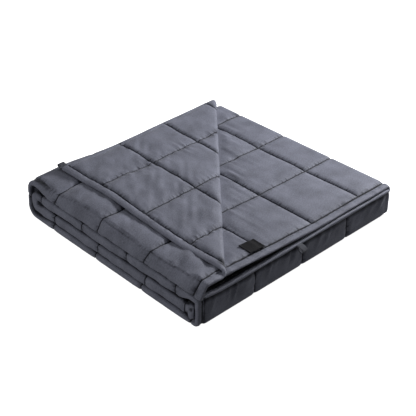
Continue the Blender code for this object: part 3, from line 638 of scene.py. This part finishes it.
def puffs(lengthways, beside, seam, spacing, reach, seed):
    """Puckers square to a seam: round puffs with sharp valleys between them, soon faded.

    The absolute value of a noise that runs along the seam, less its middle value, times a
    slower noise that makes some of them stronger.  Both are other ones for each seam.  It
    starts from nothing at the seam and dies away as an exponential of the distance.
    """
    valleys = np.abs(soft_noise(lengthways / spacing, beside / (4 * spacing) + seam * 7.3, seed))
    uneven = 0.65 + 0.6 * soft_noise(lengthways / (6 * spacing), seam * 5.1, seed + 40)
    rise = beside / (beside + PUFF_START) * np.exp(-beside / reach)
    return uneven * (valleys - PUFF_MIDDLE) * rise


def hem_waves(place):
    """A hem is drawn in by its stitching, in short soft waves across it."""
    waves = (wave("hem drawn in", place.across, place.along)
             + wave("hem lumps", place.across, place.along))
    return np.where(place.edge < SIDE_HEM, SIDE_HEM_LIFT, waves)


def wrinkles(place):
    """Puckers beside the seams, drag lines beside the flap, and waves over the squares.

    A sum of named waves, each times the share of the surface that it belongs to.  The ones
    that lie askew read their noise at the sum and the difference of across and along.
    """
    across, along = place.across, place.along
    flap, bed, strip = place.flap, place.bed, place.strip
    surfaces = {"cloth": 1.0, "flap": flap, "bed": bed, "strip": strip, "wall": place.wall}
    strong_a = sum(height * surfaces[name] for name, height in PUCKERS_ACROSS.items())
    strong_l = sum(height * surfaces[name] for name, height in PUCKERS_ALONG.items())
    height = strong_a * puffs(along, place.gap_a, place.seam_a, *PUCKER_ACROSS)
    height = height + strong_l * puffs(across, place.gap_l, place.seam_l, *PUCKER_ALONG)

    drag = bed * np.exp(-np.maximum(place.out - DRAG_START, 0.0) / DRAG_REACH)
    height = height + drag * wave("drag lines", across, along)
    height = height + (flap + strip) * wave("soft flap", across, along)
    height = height + bed * wave("soft bed", across, along)
    askew = across + along, across - along
    worn = 1 - smooth(*WORN_END, along)
    height = height + flap * (wave("even flap", *askew) + worn * wave("worn flap", *askew))
    height = height + strip * wave("askew strip", *askew)
    slack = strip * (1 - smooth(*SLACK_END, along))
    height = height + slack * wave("slack strip", across, along + 0.5 * across)

    round_it = across - THIRDS[1]
    above = place.wall * smooth(*WALL_HEIGHTS, place.height)
    height = height + above * wave("wall slanting", along + 1.6 * round_it, round_it)
    height = height + above * wave("wall finer", along - 0.9 * round_it, round_it)
    in_turn = place.turned * smooth(*TURN_TOP, place.height)
    return height + in_turn * wave("front folds", across + 0.35 * along, along)


# ---------------------------------------------------------------- the mesh of the blanket

# Spacing of the grid lines, from where the cloth shows from near to where it never shows
FINE = 0.0033
MEDIUM = 0.006
COARSE = 0.014
HIDDEN = 0.030
SEAM_STEPS = (0.0011, 0.0027)   # further lines this far beside a seam
NARROWEST = 0.0006      # lines nearer than this aren't both kept
STRIP_SHOWS = 0.385     # width from which the top strip shows beside the turned corner
# Spacing of the rows in the stretches of the roll
REAR_ROWS = 0.0042
FRONT_ROWS = 0.0030
ROLL_ROWS = 0.0085
CRUMPLED_ROWS = 0.0035
HEM_ROWS = [0.0, 0.0010, 0.0024, 0.0047, STITCH_ROW - 0.0016, STITCH_ROW]
TOP_BANDS = 4           # the rows of the top are parted like this, finer where each band shows
BAND_MARGIN = 0.015


def graded(start, stop, seams, cell, beside):
    """Grid lines about a cell apart, on every seam, with close lines beside the seams."""
    marks = [start, stop]
    for seam in seams:
        if start - 1e-6 <= seam <= stop + 1e-6:
            marks.append(seam)
            if beside:
                marks += [seam + way * step for step in SEAM_STEPS for way in (-1, 1)
                          if start < seam + way * step < stop]
    marks = sorted(set(np.round(marks, 6)))
    lines = [marks[0]]
    for a, b in zip(marks[:-1], marks[1:]):
        if b - a < NARROWEST:
            continue
        parts = max(1, math.ceil((b - a) / cell - 0.25))
        lines += list(a + (b - a) * np.arange(1, parts + 1) / parts)
    lines[-1] = marks[-1]
    return np.array(lines)


def join(*parts):
    """All the lines of the parts, each once, in order."""
    return np.unique(np.round(np.concatenate(parts), 6))


def crease_inset(run):
    """Where the crease of the turned corner is, that far behind the hem side: a straight line."""
    slope = (CREASE_END[0] - CREASE_START[0]) / (CREASE_END[1] - CREASE_START[1])
    return CREASE_START[0] + (run - CREASE_START[1]) * slope


def column_sets():
    """Lines over the width for each face and stretch: close together where the face shows."""
    s = THIRDS
    low = graded(s[2], s[3], [], HIDDEN, False)
    back = np.linspace(s[3], s[4], 7)
    fold = np.linspace(s[1], s[2], 21)
    plain_fold = np.linspace(s[1], s[2], 9)
    narrow_hem = graded(0.0, SIDE_HEM + 0.001, [SIDE_HEM - 0.001], 0.0012, False)
    hidden_top = join(graded(0.0, 0.40, [], HIDDEN, False), graded(0.40, s[1], [], COARSE, False))
    hidden_middle = graded(s[4], SPAN, [], HIDDEN, False)
    sets = {}
    for band in range(TOP_BANDS):
        inset = crease_inset(STARTS[1] * band / TOP_BANDS) - BAND_MARGIN
        last_turned = TOP_EDGE - inset + 0.02
        turned = join(narrow_hem, graded(0.0, min(last_turned, s[1]), across_seams, FINE, True))
        rest = graded(turned[-1], s[1], [], HIDDEN, False)
        last_bed = s[4] + FAR - max(inset, HIDDEN_EDGE + 0.001)
        bed = graded(s[4], last_bed, across_seams, FINE, True)
        strip = graded(STRIP_SHOWS, s[1], across_seams, FINE, True)
        sets[f"top{band}", 1] = join(
            graded(0.0, STRIP_SHOWS, [], HIDDEN, False), strip, fold, low, back, bed,
            graded(last_bed, SPAN, [], HIDDEN, False))
        sets[f"top{band}", -1] = join(turned, rest, plain_fold, low, back, hidden_middle)
    wrap = graded(0.0, s[1], across_seams, FINE * 1.2, True)
    sets["rear", 1] = join(graded(0.0, s[1], across_seams, MEDIUM, True), fold, low, back,
                           graded(s[4], SPAN, [], COARSE, False))
    sets["front", 1] = join(wrap, fold, low, back, hidden_middle)
    sets["inner", 1] = join(hidden_top, fold, low, back, hidden_middle)
    for kind in ("rear", "front", "inner"):
        sets[kind, -1] = join(hidden_top, plain_fold, low, back, hidden_middle)
    return sets


def row_lines():
    """Lines over the length, and the kind of stretch that each of them starts."""
    crumpled_from = LENGTH - CRUMPLE_REACH
    top = [np.array(HEM_ROWS), graded(HEM_ROWS[3], STARTS[1], along_seams, FINE, True)]
    top.append(STARTS[1] * np.arange(TOP_BANDS + 1) / TOP_BANDS)
    rest = [graded(STARTS[1], STARTS[2], along_seams, REAR_ROWS, False),
            graded(STARTS[2], STARTS[3], along_seams, ROLL_ROWS, True),
            graded(STARTS[3], STARTS[4], along_seams, FRONT_ROWS, False),
            graded(STARTS[4], STARTS[5], along_seams, ROLL_ROWS, True),
            np.linspace(STARTS[5], STARTS[6], 15),
            graded(STARTS[6], crumpled_from, along_seams, ROLL_ROWS, True),
            graded(crumpled_from, LENGTH, along_seams, CRUMPLED_ROWS, False)]
    lines = join(*top, *rest)
    lines = lines[np.concatenate([[True], np.diff(lines) > 0.0004])]
    kinds = []
    for line in lines[:-1] + 1e-5:
        if line < STARTS[1]:
            kinds.append(f"top{int(line / STARTS[1] * TOP_BANDS)}")
        elif line < STARTS[2]:
            kinds.append("rear")
        else:
            kinds.append("front" if STARTS[3] - 0.006 < line < STARTS[4] else "inner")
    return lines, kinds


def face_grid(side, lines, kinds, sets, offset):
    """One face of the flat cloth: its points row by row, and its faces.

    A row takes the lines of the stretches on both sides of it.  Where those differ, the
    cells of the sparser stretch have the extra points of the row as further corners.
    """
    rows = [join(sets[kinds[0], 1], sets[kinds[0], -1])]
    rows += [sets[a, side] if a == b else join(sets[a, side], sets[b, side])
             for a, b in zip(kinds[:-1], kinds[1:])]
    rows.append(join(sets[kinds[-1], 1], sets[kinds[-1], -1]))
    counts = [len(row) for row in rows]
    firsts = offset + np.concatenate([[0], np.cumsum(counts)])
    flat = np.concatenate([np.stack([row, np.full(len(row), line)], axis=1)
                           for row, line in zip(rows, lines)])
    quads, gons = [], []
    for i, kind in enumerate(kinds):
        columns = sets[kind, side]
        near = firsts[i] + np.searchsorted(rows[i], columns)
        far = firsts[i + 1] + np.searchsorted(rows[i + 1], columns)
        if len(rows[i]) == len(columns) == len(rows[i + 1]):
            quads.append(np.stack([near[:-1], far[:-1], far[1:], near[1:]], axis=1))
        else:
            gons += [[*range(far[c], far[c + 1] + 1), *range(near[c + 1], near[c] - 1, -1)]
                     for c in range(len(columns) - 1)]
    quads = np.concatenate(quads)
    if side < 0:
        quads, gons = quads[:, ::-1], [gon[::-1] for gon in gons]
    border = np.concatenate([
        firsts[0] + np.arange(counts[0]),
        firsts[2:] - 1,
        (firsts[-2] + np.arange(counts[-1] - 1))[::-1],
        firsts[1:-2][::-1]])
    return flat, quads, gons, border


RIM_BULGE = 0.0009      # the folded edge of the hem is this much rounder than flat
OPEN_SEAM = 0.0060      # the seam on the crease of the top strip gets the painted shade and bump of cloth this far off it
HEM_SHADE = 0.0010      # the painted shade and bump of the middle ply's hem seam reach that much further out


def blanket_mesh():
    """Both faces of the folded cloth, and the rounded edge between them.

    A point of a face is the middle of the cloth plus the normal times its relief, which the
    squeeze of the plies makes less.  The seams' distances and the painted shade of the
    crevices go with it.
    """
    lines, kinds = row_lines()
    sets = column_sets()
    upper, quads_a, gons_a, border_a = face_grid(1, lines, kinds, sets, 0)
    under, quads_b, gons_b, border_b = face_grid(-1, lines, kinds, sets, len(upper))
    points, values = [], []
    for flat, side in ((upper, 1), (under, -1)):
        across, along = flat.T
        place = Place(across, along, side)
        laid = across + seam_drift(across, along)
        behind = along - seam_slip(across, along)
        middle = sheet_point(laid, behind)
        normal = sheet_normal(laid, behind)
        off = relief(place) * np.minimum(squeeze(behind, place.inset), 1)
        points.append(middle + normal * (side * off)[:, None])
        # Distances to the seams, which set their painted shade and bump in the shader
        seam_a = np.where(place.hem < HEM - 0.001, 1.0,
                          place.gap_a + OPEN_SEAM * place.on_crease)
        at_hem = place.bed * (place.seam_l == 0)
        seam_l = np.maximum(place.gap_l - HEM_SHADE * at_hem, 0.0)
        values.append(np.stack([seam_a, seam_l, place.painted_crevice_shade], axis=1))
    points, values = np.concatenate(points), np.concatenate(values)
    flat = np.concatenate([upper, under])

    # The edge: its middle line bulges outwards a little beyond both faces
    rim_middle = (points[border_a] + points[border_b]) / 2
    forward = np.roll(rim_middle, -1, axis=0) - np.roll(rim_middle, 1, axis=0)
    outwards = np.cross(points[border_a] - points[border_b], forward)
    outwards /= np.maximum(np.linalg.norm(outwards, axis=1, keepdims=True), 1e-12)
    rim = rim_middle + outwards * RIM_BULGE
    first = len(points)
    k = np.arange(len(rim))
    n = np.roll(k, -1)
    edge_a = np.stack([border_a[k], border_a[n], first + n, first + k], axis=1)
    edge_b = np.stack([first + k, first + n, border_b[n], border_b[k]], axis=1)
    points = np.concatenate([points, rim]) + SHIFT
    points[:, 2] = np.maximum(points[:, 2], 0.0)
    flat, values = (np.concatenate([table, table[border_a]]) for table in (flat, values))
    quads = np.concatenate([quads_a, quads_b, edge_a, edge_b])[:, ::-1]
    return points, quads, [gon[::-1] for gon in gons_a + gons_b], flat, values


def mesh_object(name, points, quads, gons, uv, mat, values=None):
    """A smooth mesh with its flat cloth as UV map, in metres, and named values a point."""
    mesh = bpy.data.meshes.new(name)
    mesh.from_pydata(points.tolist(), [], quads.tolist() + gons)
    mesh.polygons.foreach_set("use_smooth", np.ones(len(mesh.polygons), bool))
    corners = np.zeros(len(mesh.loops), np.int32)
    mesh.loops.foreach_get("vertex_index", corners)
    layer = mesh.uv_layers.new(name="flat_cloth")
    layer.data.foreach_set("uv", uv[corners].astype(np.float32).ravel())
    for key, column in (values or {}).items():
        attribute = mesh.attributes.new(key, "FLOAT", "POINT")
        attribute.data.foreach_set("value", column.astype(np.float32))
    obj = bpy.data.objects.new(name, mesh)
    bpy.context.scene.collection.objects.link(obj)
    mesh.materials.append(mat)
    return obj


# ---------------------------------------------------------------- label and loops

PIECE_GAP = 0.0004
LABEL_INSETS = (0.138, 0.174)
LABEL_RUNS = (0.0165, 0.045)
LABEL_THICK = 0.0008
LABEL_WINDOW = 9        # points of the label's grid, about a millimetre apart
LABEL_CURL = 0.0007     # its free edge lifts by this, more at the corners
SHEET_RIM = 0.8         # the edge of a thin sheet bulges by this share of its half thickness
TAPE_WIDTH = 0.0125
TAPE_THICK = 0.0009
LOOP_GAP = 0.0011
LOOP_LENGTH = 0.0165
LOOP_OPENING = 0.0068
LOOP_ROOT = 0.0012      # its ends reach this far into the hem
LOOP_ANGLE = 0.10       # where the drop begins and ends, short of a whole round
LOOP_NARROWS = 0.06     # share of the width that is lost towards the bight
CORNER_LOOP_ALONG = 0.0075
CORNER_LOOP_DROOP = math.radians(-9)
SIDE_LOOP_INSET = 0.236
SIDE_LOOP_DROOP = math.radians(24)


def closed_sheet(middle, half):
    """A thin sheet round a grid of its middle points: two faces and a rounded edge.

    The faces are the middle plus and minus the normal times half the thickness, where the
    normal is the cross product of the grid's two slopes.  The edge has one more line, a
    little outside the border.
    """
    rows, columns = middle.shape[:2]
    normal = np.cross(np.gradient(middle, axis=0), np.gradient(middle, axis=1))
    normal /= np.linalg.norm(normal, axis=-1, keepdims=True)
    upper = (middle + normal * half).reshape(-1, 3)
    under = (middle - normal * half).reshape(-1, 3)
    index = np.arange(rows * columns).reshape(rows, columns)
    cells = np.stack([index[:-1, :-1], index[1:, :-1], index[1:, 1:], index[:-1, 1:]],
                     axis=-1).reshape(-1, 4)
    border = np.concatenate([index[0], index[1:, -1], index[-1, -2::-1], index[-2:0:-1, 0]])
    count = rows * columns
    centre = middle.reshape(-1, 3)[border]
    forward = np.roll(centre, -1, axis=0) - np.roll(centre, 1, axis=0)
    out = np.cross(forward, normal.reshape(-1, 3)[border])
    out /= np.linalg.norm(out, axis=1, keepdims=True)
    rim = centre - out * half * SHEET_RIM
    k = np.arange(len(border))
    n = np.roll(k, -1)
    quads = [cells, cells[:, ::-1] + count,
             np.stack([border[k], border[n], 2 * count + n, 2 * count + k], axis=1),
             np.stack([2 * count + k, 2 * count + n, count + border[n], count + border[k]], axis=1)]
    order = np.concatenate([np.arange(count), np.arange(count), border])
    return np.concatenate([upper, under, rim]), np.concatenate(quads), order


def label_base(insets, runs):
    """What the label lies on: the greatest height of the cloth near each point, evened out.

    The heights are taken on a grid that is LABEL_WINDOW - 1 points larger on each side.  A
    moving greatest value over squares of that many points, and then a moving mean over such
    squares, leave one height for each point of the label.
    """
    wider = LABEL_WINDOW - 1
    rows, columns = (np.linspace(
        line[0] - wider * (line[1] - line[0]), line[-1] + wider * (line[1] - line[0]),
        len(line) + 2 * wider) for line in (runs, insets))
    inset, run = np.meshgrid(columns, rows)
    height = relief(Place(THIRDS[4] + FAR - inset, np.maximum(run, 0.0), 1))
    square = (LABEL_WINDOW, LABEL_WINDOW)
    height = np.lib.stride_tricks.sliding_window_view(height, square).max(axis=(2, 3))
    return np.lib.stride_tricks.sliding_window_view(height, square).mean(axis=(2, 3)).ravel()


def label_piece(mat):
    """A woven label laid over the hem seam, its front edge caught in the topstitching.

    Its height over the cloth is label_base plus a curl: the cube of the way back from the
    front edge, times more towards both sides.
    """
    insets = np.linspace(*LABEL_INSETS, 41)
    runs = np.linspace(*LABEL_RUNS, 33)
    inset, run = np.meshgrid(insets, runs)
    across, along = THIRDS[4] + FAR - inset.ravel(), run.ravel()
    base = label_base(insets, runs) + PIECE_GAP + LABEL_THICK / 2
    u = (inset.ravel() - LABEL_INSETS[0]) / (LABEL_INSETS[1] - LABEL_INSETS[0])
    v = (run.ravel() - LABEL_RUNS[0]) / (LABEL_RUNS[1] - LABEL_RUNS[0])
    lift = LABEL_CURL * v ** 3 * (0.4 + np.abs(2 * u - 1) ** 2)
    middle = sheet_point(across, along) + sheet_normal(across, along) * (base + lift)[:, None]
    grid = (middle + SHIFT).reshape(len(runs), len(insets), 3)
    points, quads, order = closed_sheet(grid, LABEL_THICK / 2)
    uv = np.stack([inset.ravel(), run.ravel()], axis=1)[order]
    label = mesh_object("woven_label", points, quads, [], uv, mat)
    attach(label, "root")
    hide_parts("label")


def loop_root(across, along, outward):
    """A place just off the cloth's edge, the way out of it there and the way along the edge."""
    step = 0.001
    place = sheet_point(np.array([across]), np.array([along]))[0]
    by_across = sheet_point(np.array([across + step]), np.array([along]))[0] - place
    by_along = sheet_point(np.array([across]), np.array([along + step]))[0] - place
    out, side = (-by_across, by_along) if outward == "across" else (-by_along, by_across)
    out = out / np.linalg.norm(out)
    side = side - out * np.dot(side, out)
    return place + out * LOOP_GAP, out, side / np.linalg.norm(side)


def loop_piece(name, node, root, out, side, droop, mat):
    """A loop of tape: both ends in the hem, and a drop-shaped bight that hangs from it.

    The profile goes once round by an angle.  It reaches out by 1 less the cosine, and its
    height is the sine times a power of the sine of half the angle, plus half a thickness
    near the ends, so that they lie on each other.  The tape's width is carried along it.
    """
    up = np.cross(out, side)
    up = up if up[2] > 0 else -up
    hang = out * math.cos(droop) - up * math.sin(droop)
    lift = up * math.cos(droop) + out * math.sin(droop)
    angle = np.linspace(LOOP_ANGLE, 2 * math.pi - LOOP_ANGLE, 57)
    drop = np.sin(angle) * np.sin(angle / 2) ** 0.7
    drop = drop / np.max(drop)
    out_by = (1 - np.cos(angle)) / 2
    reach = -LOOP_ROOT + (LOOP_LENGTH + LOOP_ROOT - TAPE_THICK / 2) * out_by
    height = (LOOP_OPENING + TAPE_THICK) / 2 * drop + TAPE_THICK * 0.55 * np.sign(
        np.sin(angle)) * np.cos(angle / 2) ** 2
    width = np.linspace(-0.5, 0.5, 13)
    narrow = TAPE_WIDTH * (1 - LOOP_NARROWS * out_by)
    path = root + hang * reach[:, None] + lift * height[:, None]
    middle = path[:, None, :] + side * (narrow[:, None] * width)[..., None]
    length = np.concatenate([[0], np.cumsum(np.linalg.norm(np.diff(path, axis=0), axis=1))])
    points, quads, order = closed_sheet(middle + SHIFT, TAPE_THICK / 2)
    uv = np.stack(np.meshgrid(width * TAPE_WIDTH, length), axis=-1).reshape(-1, 2)[order]
    loop = mesh_object(name, points, quads, [], uv, mat)
    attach(loop, "root")
    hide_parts(node)


# ---------------------------------------------------------------- materials

SHEEN_ROUGHNESS = 0.4
THREAD_PITCH = 0.0007   # of the percale, two threads
STITCH_PITCH = 0.0032
TWILL_PITCH = 0.0011
RIB_PITCH = 0.0009
TURNED_IN = (0.0022, 0.0030)    # distances from the label's side over which its border ends
# Height of the bump for a height of 1
PERCALE_RELIEF = 0.00045
TAPE_RELIEF = 0.0002
# Colours from the darkest to the lightest thread
# the percale's colours near its darkest show only where painted shade dims it, in seams, crevices
# and creases
PERCALE = ((0.006, 0.007, 0.013), (0.345, 0.360, 0.450))
TWILL = ((0.045, 0.048, 0.062), (0.13, 0.137, 0.17))
DAMASK = ((0.004, 0.004, 0.005), (0.020, 0.020, 0.025))
# Distances from a seam, from nearest to furthest
NEEDLE_HOLES = (0.0003, 0.0006)
SEAM_SINKS = (0.0004, 0.0026)
# painted shade of a seam's valley: darkest up to the first distance, gone by the second
SEAM_PAINTED_SHADE = (0.0005, 0.0024)
CREASES_A = (0.001, 0.013)
CREASES_L = (0.001, 0.011)
CREASE_GRAINS = (26.0, 190.0)   # of the fine creases to a metre, lengthways and across them


class Shader:
    """A Principled material and short calls that add nodes to it."""

    def __init__(self, name):
        self.mat = bpy.data.materials.new(name)
        self.mat.use_nodes = True
        self.nodes, self.links = self.mat.node_tree.nodes, self.mat.node_tree.links
        self.bsdf = self.nodes["Principled BSDF"]

    def put(self, socket, value):
        """Link a socket to a socket, or set it to a value."""
        if isinstance(value, bpy.types.NodeSocket):
            self.links.new(value, socket)
        else:
            socket.default_value = value

    def math(self, operation, *values):
        """One operation of Blender's Math node on sockets or numbers."""
        node = self.nodes.new("ShaderNodeMath")
        node.operation = operation
        for socket, value in zip(node.inputs, values):
            self.put(socket, value)
        return node.outputs[0]

    def total(self, *rows):
        """The sum of some values, each times its share."""
        terms = [self.math("MULTIPLY", value, share) for value, share in rows]
        result = terms[0]
        for term in terms[1:]:
            result = self.math("ADD", result, term)
        return result

    def ramp(self, value, low, high, start, stop):
        """start below low, stop above high, an even S between."""
        node = self.nodes.new("ShaderNodeMapRange")
        node.interpolation_type = "SMOOTHSTEP"
        for socket, number in zip(node.inputs, (value, low, high, start, stop)):
            self.put(socket, number)
        return node.outputs[0]

    def attribute(self, name):
        """A value that the mesh has for each point."""
        node = self.nodes.new("ShaderNodeAttribute")
        node.attribute_name = name
        return node.outputs["Fac"]

    def flat_cloth(self):
        """The place on the flat cloth, in metres."""
        node = self.nodes.new("ShaderNodeUVMap")
        node.uv_map = "flat_cloth"
        return node.outputs[0]

    def parts(self, vector):
        """u and v of a place."""
        node = self.nodes.new("ShaderNodeSeparateXYZ")
        self.put(node.inputs[0], vector)
        return node.outputs[0], node.outputs[1]

    def stretched(self, vector, by_u, by_v):
        """The place times a factor for each way."""
        node = self.nodes.new("ShaderNodeMapping")
        self.put(node.inputs["Vector"], vector)
        node.inputs["Scale"].default_value = (by_u, by_v, 1.0)
        return node.outputs[0]

    def noise(self, vector, scale, detail):
        """Noise around 0.5, with that many grains to a metre."""
        node = self.nodes.new("ShaderNodeTexNoise")
        self.put(node.inputs["Vector"], vector)
        node.inputs["Scale"].default_value = scale
        node.inputs["Detail"].default_value = detail
        return node.outputs["Fac"]

    def colour(self, factor, dark, light):
        """dark at factor 0, light at 1."""
        node = self.nodes.new("ShaderNodeMix")
        node.data_type = "RGBA"
        self.put(node.inputs["Factor"], factor)
        node.inputs["A"].default_value = (*dark, 1.0)
        node.inputs["B"].default_value = (*light, 1.0)
        return node.outputs["Result"]

    def bump(self, height, distance):
        """Tilt the surface as if it had this height, times a distance in metres."""
        node = self.nodes.new("ShaderNodeBump")
        node.inputs["Distance"].default_value = distance
        self.put(node.inputs["Height"], height)
        self.put(self.bsdf.inputs["Normal"], node.outputs[0])

    def finish(self, roughness, sheen, specular):
        """Set how matt and how fuzzy the piece is, and hand over its material."""
        self.bsdf.inputs["Roughness"].default_value = roughness
        self.bsdf.inputs["Sheen Weight"].default_value = sheen
        self.bsdf.inputs["Sheen Roughness"].default_value = SHEEN_ROUGHNESS
        self.bsdf.inputs["Specular IOR Level"].default_value = specular
        return self.mat


def stripes(shader, place, pitch):
    """Stripes square to one way: the sine of the place, with a whole round to the pitch."""
    return shader.math("SINE", shader.math("MULTIPLY", place, 2 * math.pi / pitch))


def weave(shader, u, v, pitch):
    """Plain weave: the threads of the two ways pass over each other by turns.

    The sine of u times the sine of v, each with a whole round to the pitch.
    """
    return shader.math("MULTIPLY", stripes(shader, u, pitch), stripes(shader, v, pitch))


def percale():
    """Slate cotton percale: fine weave, uneven thread, dark seams with their stitches.

    The tone is a sum of two noises, fine thread and broad patches, times the painted shade
    that dims it near a seam, in the crevices and in the fine creases beside a seam.  The
    height is a sum of weave, thread, stitches and creases, less the seam's own trough.
    """
    shader = Shader("slate_cotton_percale")
    flat = shader.flat_cloth()
    u, v = shader.parts(flat)
    gap_a, gap_l = shader.attribute("seam_across"), shader.attribute("seam_along")
    near = shader.math("MINIMUM", gap_a, gap_l)
    in_seam = shader.ramp(near, *SEAM_SINKS, 1.0, 0.0)
    # Painted shade: darker near a seam and in the crevices
    painted_shade = shader.math("MULTIPLY", shader.ramp(near, *SEAM_PAINTED_SHADE, 0.04, 1.0),
                      shader.ramp(shader.attribute("painted_crevice_shade"), 0.0, 1.0, 1.0, 0.05))
    # Fine puckers square to each seam: creases that start at it and fade within a centimetre,
    # with painted shade in their valleys
    creases_a = shader.noise(shader.stretched(flat, *CREASE_GRAINS), 1.0, 1.5)
    creases_l = shader.noise(shader.stretched(flat, *CREASE_GRAINS[::-1]), 1.0, 1.5)
    beside_a = shader.ramp(gap_a, *CREASES_A, 1.0, 0.0)
    beside_l = shader.ramp(gap_l, *CREASES_L, 1.0, 0.0)
    for beside, creases in ((beside_a, creases_a), (beside_l, creases_l)):
        # painted shade in the valleys of the creases
        crease_shade = shader.math("MULTIPLY", beside, shader.ramp(creases, 0.34, 0.50, 0.60, 0.0))
        painted_shade = shader.math("MULTIPLY", painted_shade, shader.math("SUBTRACT", 1.0, crease_shade))
    pucker = shader.math("ADD", shader.math("MULTIPLY", beside_a, creases_a),
                         shader.math("MULTIPLY", beside_l, creases_l))
    threads = weave(shader, u, v, THREAD_PITCH)
    slub = shader.noise(flat, 420.0, 3.0)
    patches = shader.noise(flat, 26.0, 2.0)

    tone = shader.math("MULTIPLY", shader.total((slub, 0.55), (patches, 0.45)), painted_shade)
    shader.put(shader.bsdf.inputs["Base Color"], shader.colour(tone, *PERCALE))
    stitch = stripes(shader, shader.math("ADD", u, v), STITCH_PITCH)
    stitch = shader.math("MULTIPLY", shader.ramp(stitch, -0.5, 0.1, 0.0, 1.0),
                         shader.ramp(near, *NEEDLE_HOLES, 1.0, 0.0))
    height = shader.total((threads, 0.10), (slub, 0.5), (in_seam, -0.6), (stitch, 0.8),
                          (pucker, 4.0))
    shader.bump(height, PERCALE_RELIEF)
    return shader.finish(0.62, 0.10, 0.20)


def tape_twill():
    """Cotton tape with a fine twill line: stripes over the sum of u and v."""
    shader = Shader("slate_tape_twill")
    flat = shader.flat_cloth()
    u, v = shader.parts(flat)
    line = stripes(shader, shader.math("ADD", u, v), TWILL_PITCH)
    slub = shader.noise(flat, 900.0, 2.0)
    shader.put(shader.bsdf.inputs["Base Color"], shader.colour(slub, *TWILL))
    shader.bump(shader.math("ADD", line, slub), TAPE_RELIEF)
    return shader.finish(0.75, 0.15, 0.3)


def damask():
    """Black woven label: fine ribs, with a denser border where its edge is turned in.

    The border is a ramp of the distance to the nearer side, which is half the label's width
    less the distance from its middle.
    """
    shader = Shader("black_label_damask")
    flat = shader.flat_cloth()
    u, v = shader.parts(flat)
    ribs = stripes(shader, v, RIB_PITCH)
    middle_u = (LABEL_INSETS[0] + LABEL_INSETS[1]) / 2
    half_u = (LABEL_INSETS[1] - LABEL_INSETS[0]) / 2
    beside = shader.math("SUBTRACT", half_u, shader.math("ABSOLUTE", shader.math(
        "SUBTRACT", u, middle_u)))
    border = shader.ramp(beside, *TURNED_IN, 1.0, 0.0)
    slub = shader.noise(flat, 1200.0, 2.0)
    tone = shader.total((slub, 0.6), (border, 0.25))
    shader.put(shader.bsdf.inputs["Base Color"], shader.colour(tone, *DAMASK))
    shader.bump(shader.total((ribs, 0.4), (border, 1.0)), TAPE_RELIEF)
    return shader.finish(0.7, 0.0, 0.12)


# ---------------------------------------------------------------- the pieces

def blanket_piece(mat):
    """The quilted cloth, with the values that its shader reads."""
    points, quads, gons, flat, values = blanket_mesh()
    names = ("seam_across", "seam_along", "painted_crevice_shade")
    blanket = mesh_object("blanket_cloth", points, quads, gons, flat, mat,
                          dict(zip(names, values.T)))
    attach(blanket, "root")
    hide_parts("blanket")


blanket_piece(percale())
label_piece(damask())
tape = tape_twill()
loop_piece("corner_loop_tape", "loop_corner", *loop_root(0.0, CORNER_LOOP_ALONG, "across"),
           CORNER_LOOP_DROOP, tape)
loop_piece("side_loop_tape", "loop_side",
           *loop_root(THIRDS[2] + SIDE_LOOP_INSET - NEAR, 0.0, "along"), SIDE_LOOP_DROOP, tape)


# ---------------------------------------------------------------- floor, light, camera

FLOOR_HALF = 6
# Each lamp: (name, place, what it points at, size, watts)
LAMPS = [
    ("key", (0.16, 1.10, 0.74), (0, 0, 0), 0.40, 18.5),
    ("top", (-0.1, 0.2, 2.6), (0, 0, 0), 1.0, 7.5),
    ("left", (-0.5, -2.2, 0.5), (0, 0, 0.05), 1.0, 12),
    ("right", (0.80, 1.50, 0.25), (0.24, 0, 0.03), 0.35, 3.0),
]
STUDIO_LIGHT = 0.14
CAMERA_PLACE = (1.1258 + SHIFT[0], -1.0708, 1.0191)
CAMERA_HEADING = math.radians(43.5684)
CAMERA_PITCH = math.radians(32.9139)
CAMERA_LENS = 83.85


def stage():
    """A white floor that glows evenly and throws no light on the blanket."""
    mesh = bpy.data.meshes.new("floor")
    corners = [(x * FLOOR_HALF, y * FLOOR_HALF, 0) for x, y in ((-1, -1), (1, -1), (1, 1), (-1, 1))]
    mesh.from_pydata(corners, [], [(0, 1, 2, 3)])
    floor = bpy.data.objects.new("floor", mesh)
    bpy.context.scene.collection.objects.link(floor)
    mat = bpy.data.materials.new("white_floor")
    mat.use_nodes = True
    bsdf = mat.node_tree.nodes["Principled BSDF"]
    bsdf.inputs["Base Color"].default_value = (0.8, 0.8, 0.8, 1.0)
    bsdf.inputs["Roughness"].default_value = 1.0
    bsdf.inputs["Specular IOR Level"].default_value = 0.0
    bsdf.inputs["Emission Color"].default_value = (1, 1, 1, 1)
    bsdf.inputs["Emission Strength"].default_value = 1.0
    mesh.materials.append(mat)
    floor.visible_diffuse = False
    floor.visible_glossy = False


def softbox(name, place, target, size, power):
    """A round lamp that is turned to its target."""
    light = bpy.data.lights.new(name, "AREA")
    light.shape = "DISK"
    light.size = size
    light.energy = power
    lamp = bpy.data.objects.new(name, light)
    bpy.context.scene.collection.objects.link(lamp)
    lamp.location = place
    lamp.rotation_euler = (Vector(target) - Vector(place)).to_track_quat("-Z", "Y").to_euler()


def camera():
    """A long lens, turned by its heading round Z and down by its pitch."""
    view = bpy.data.cameras.new("camera")
    view.sensor_width = 36.0
    view.lens = CAMERA_LENS
    holder = bpy.data.objects.new("camera", view)
    bpy.context.scene.collection.objects.link(holder)
    holder.location = CAMERA_PLACE
    level = math.cos(CAMERA_PITCH)
    aim = Vector((-math.cos(CAMERA_HEADING) * level, math.sin(CAMERA_HEADING) * level,
                  -math.sin(CAMERA_PITCH)))
    holder.rotation_euler = aim.to_track_quat("-Z", "Y").to_euler()
    bpy.context.scene.camera = holder


def world():
    """An even white light from all round."""
    studio = bpy.data.worlds.new("studio")
    bpy.context.scene.world = studio
    studio.use_nodes = True
    back = studio.node_tree.nodes["Background"]
    back.inputs["Color"].default_value = (1, 1, 1, 1)
    back.inputs["Strength"].default_value = STUDIO_LIGHT


stage()
world()
camera()
for lamp in LAMPS:
    softbox(*lamp)
bpy.context.scene.view_settings.view_transform = "Standard"
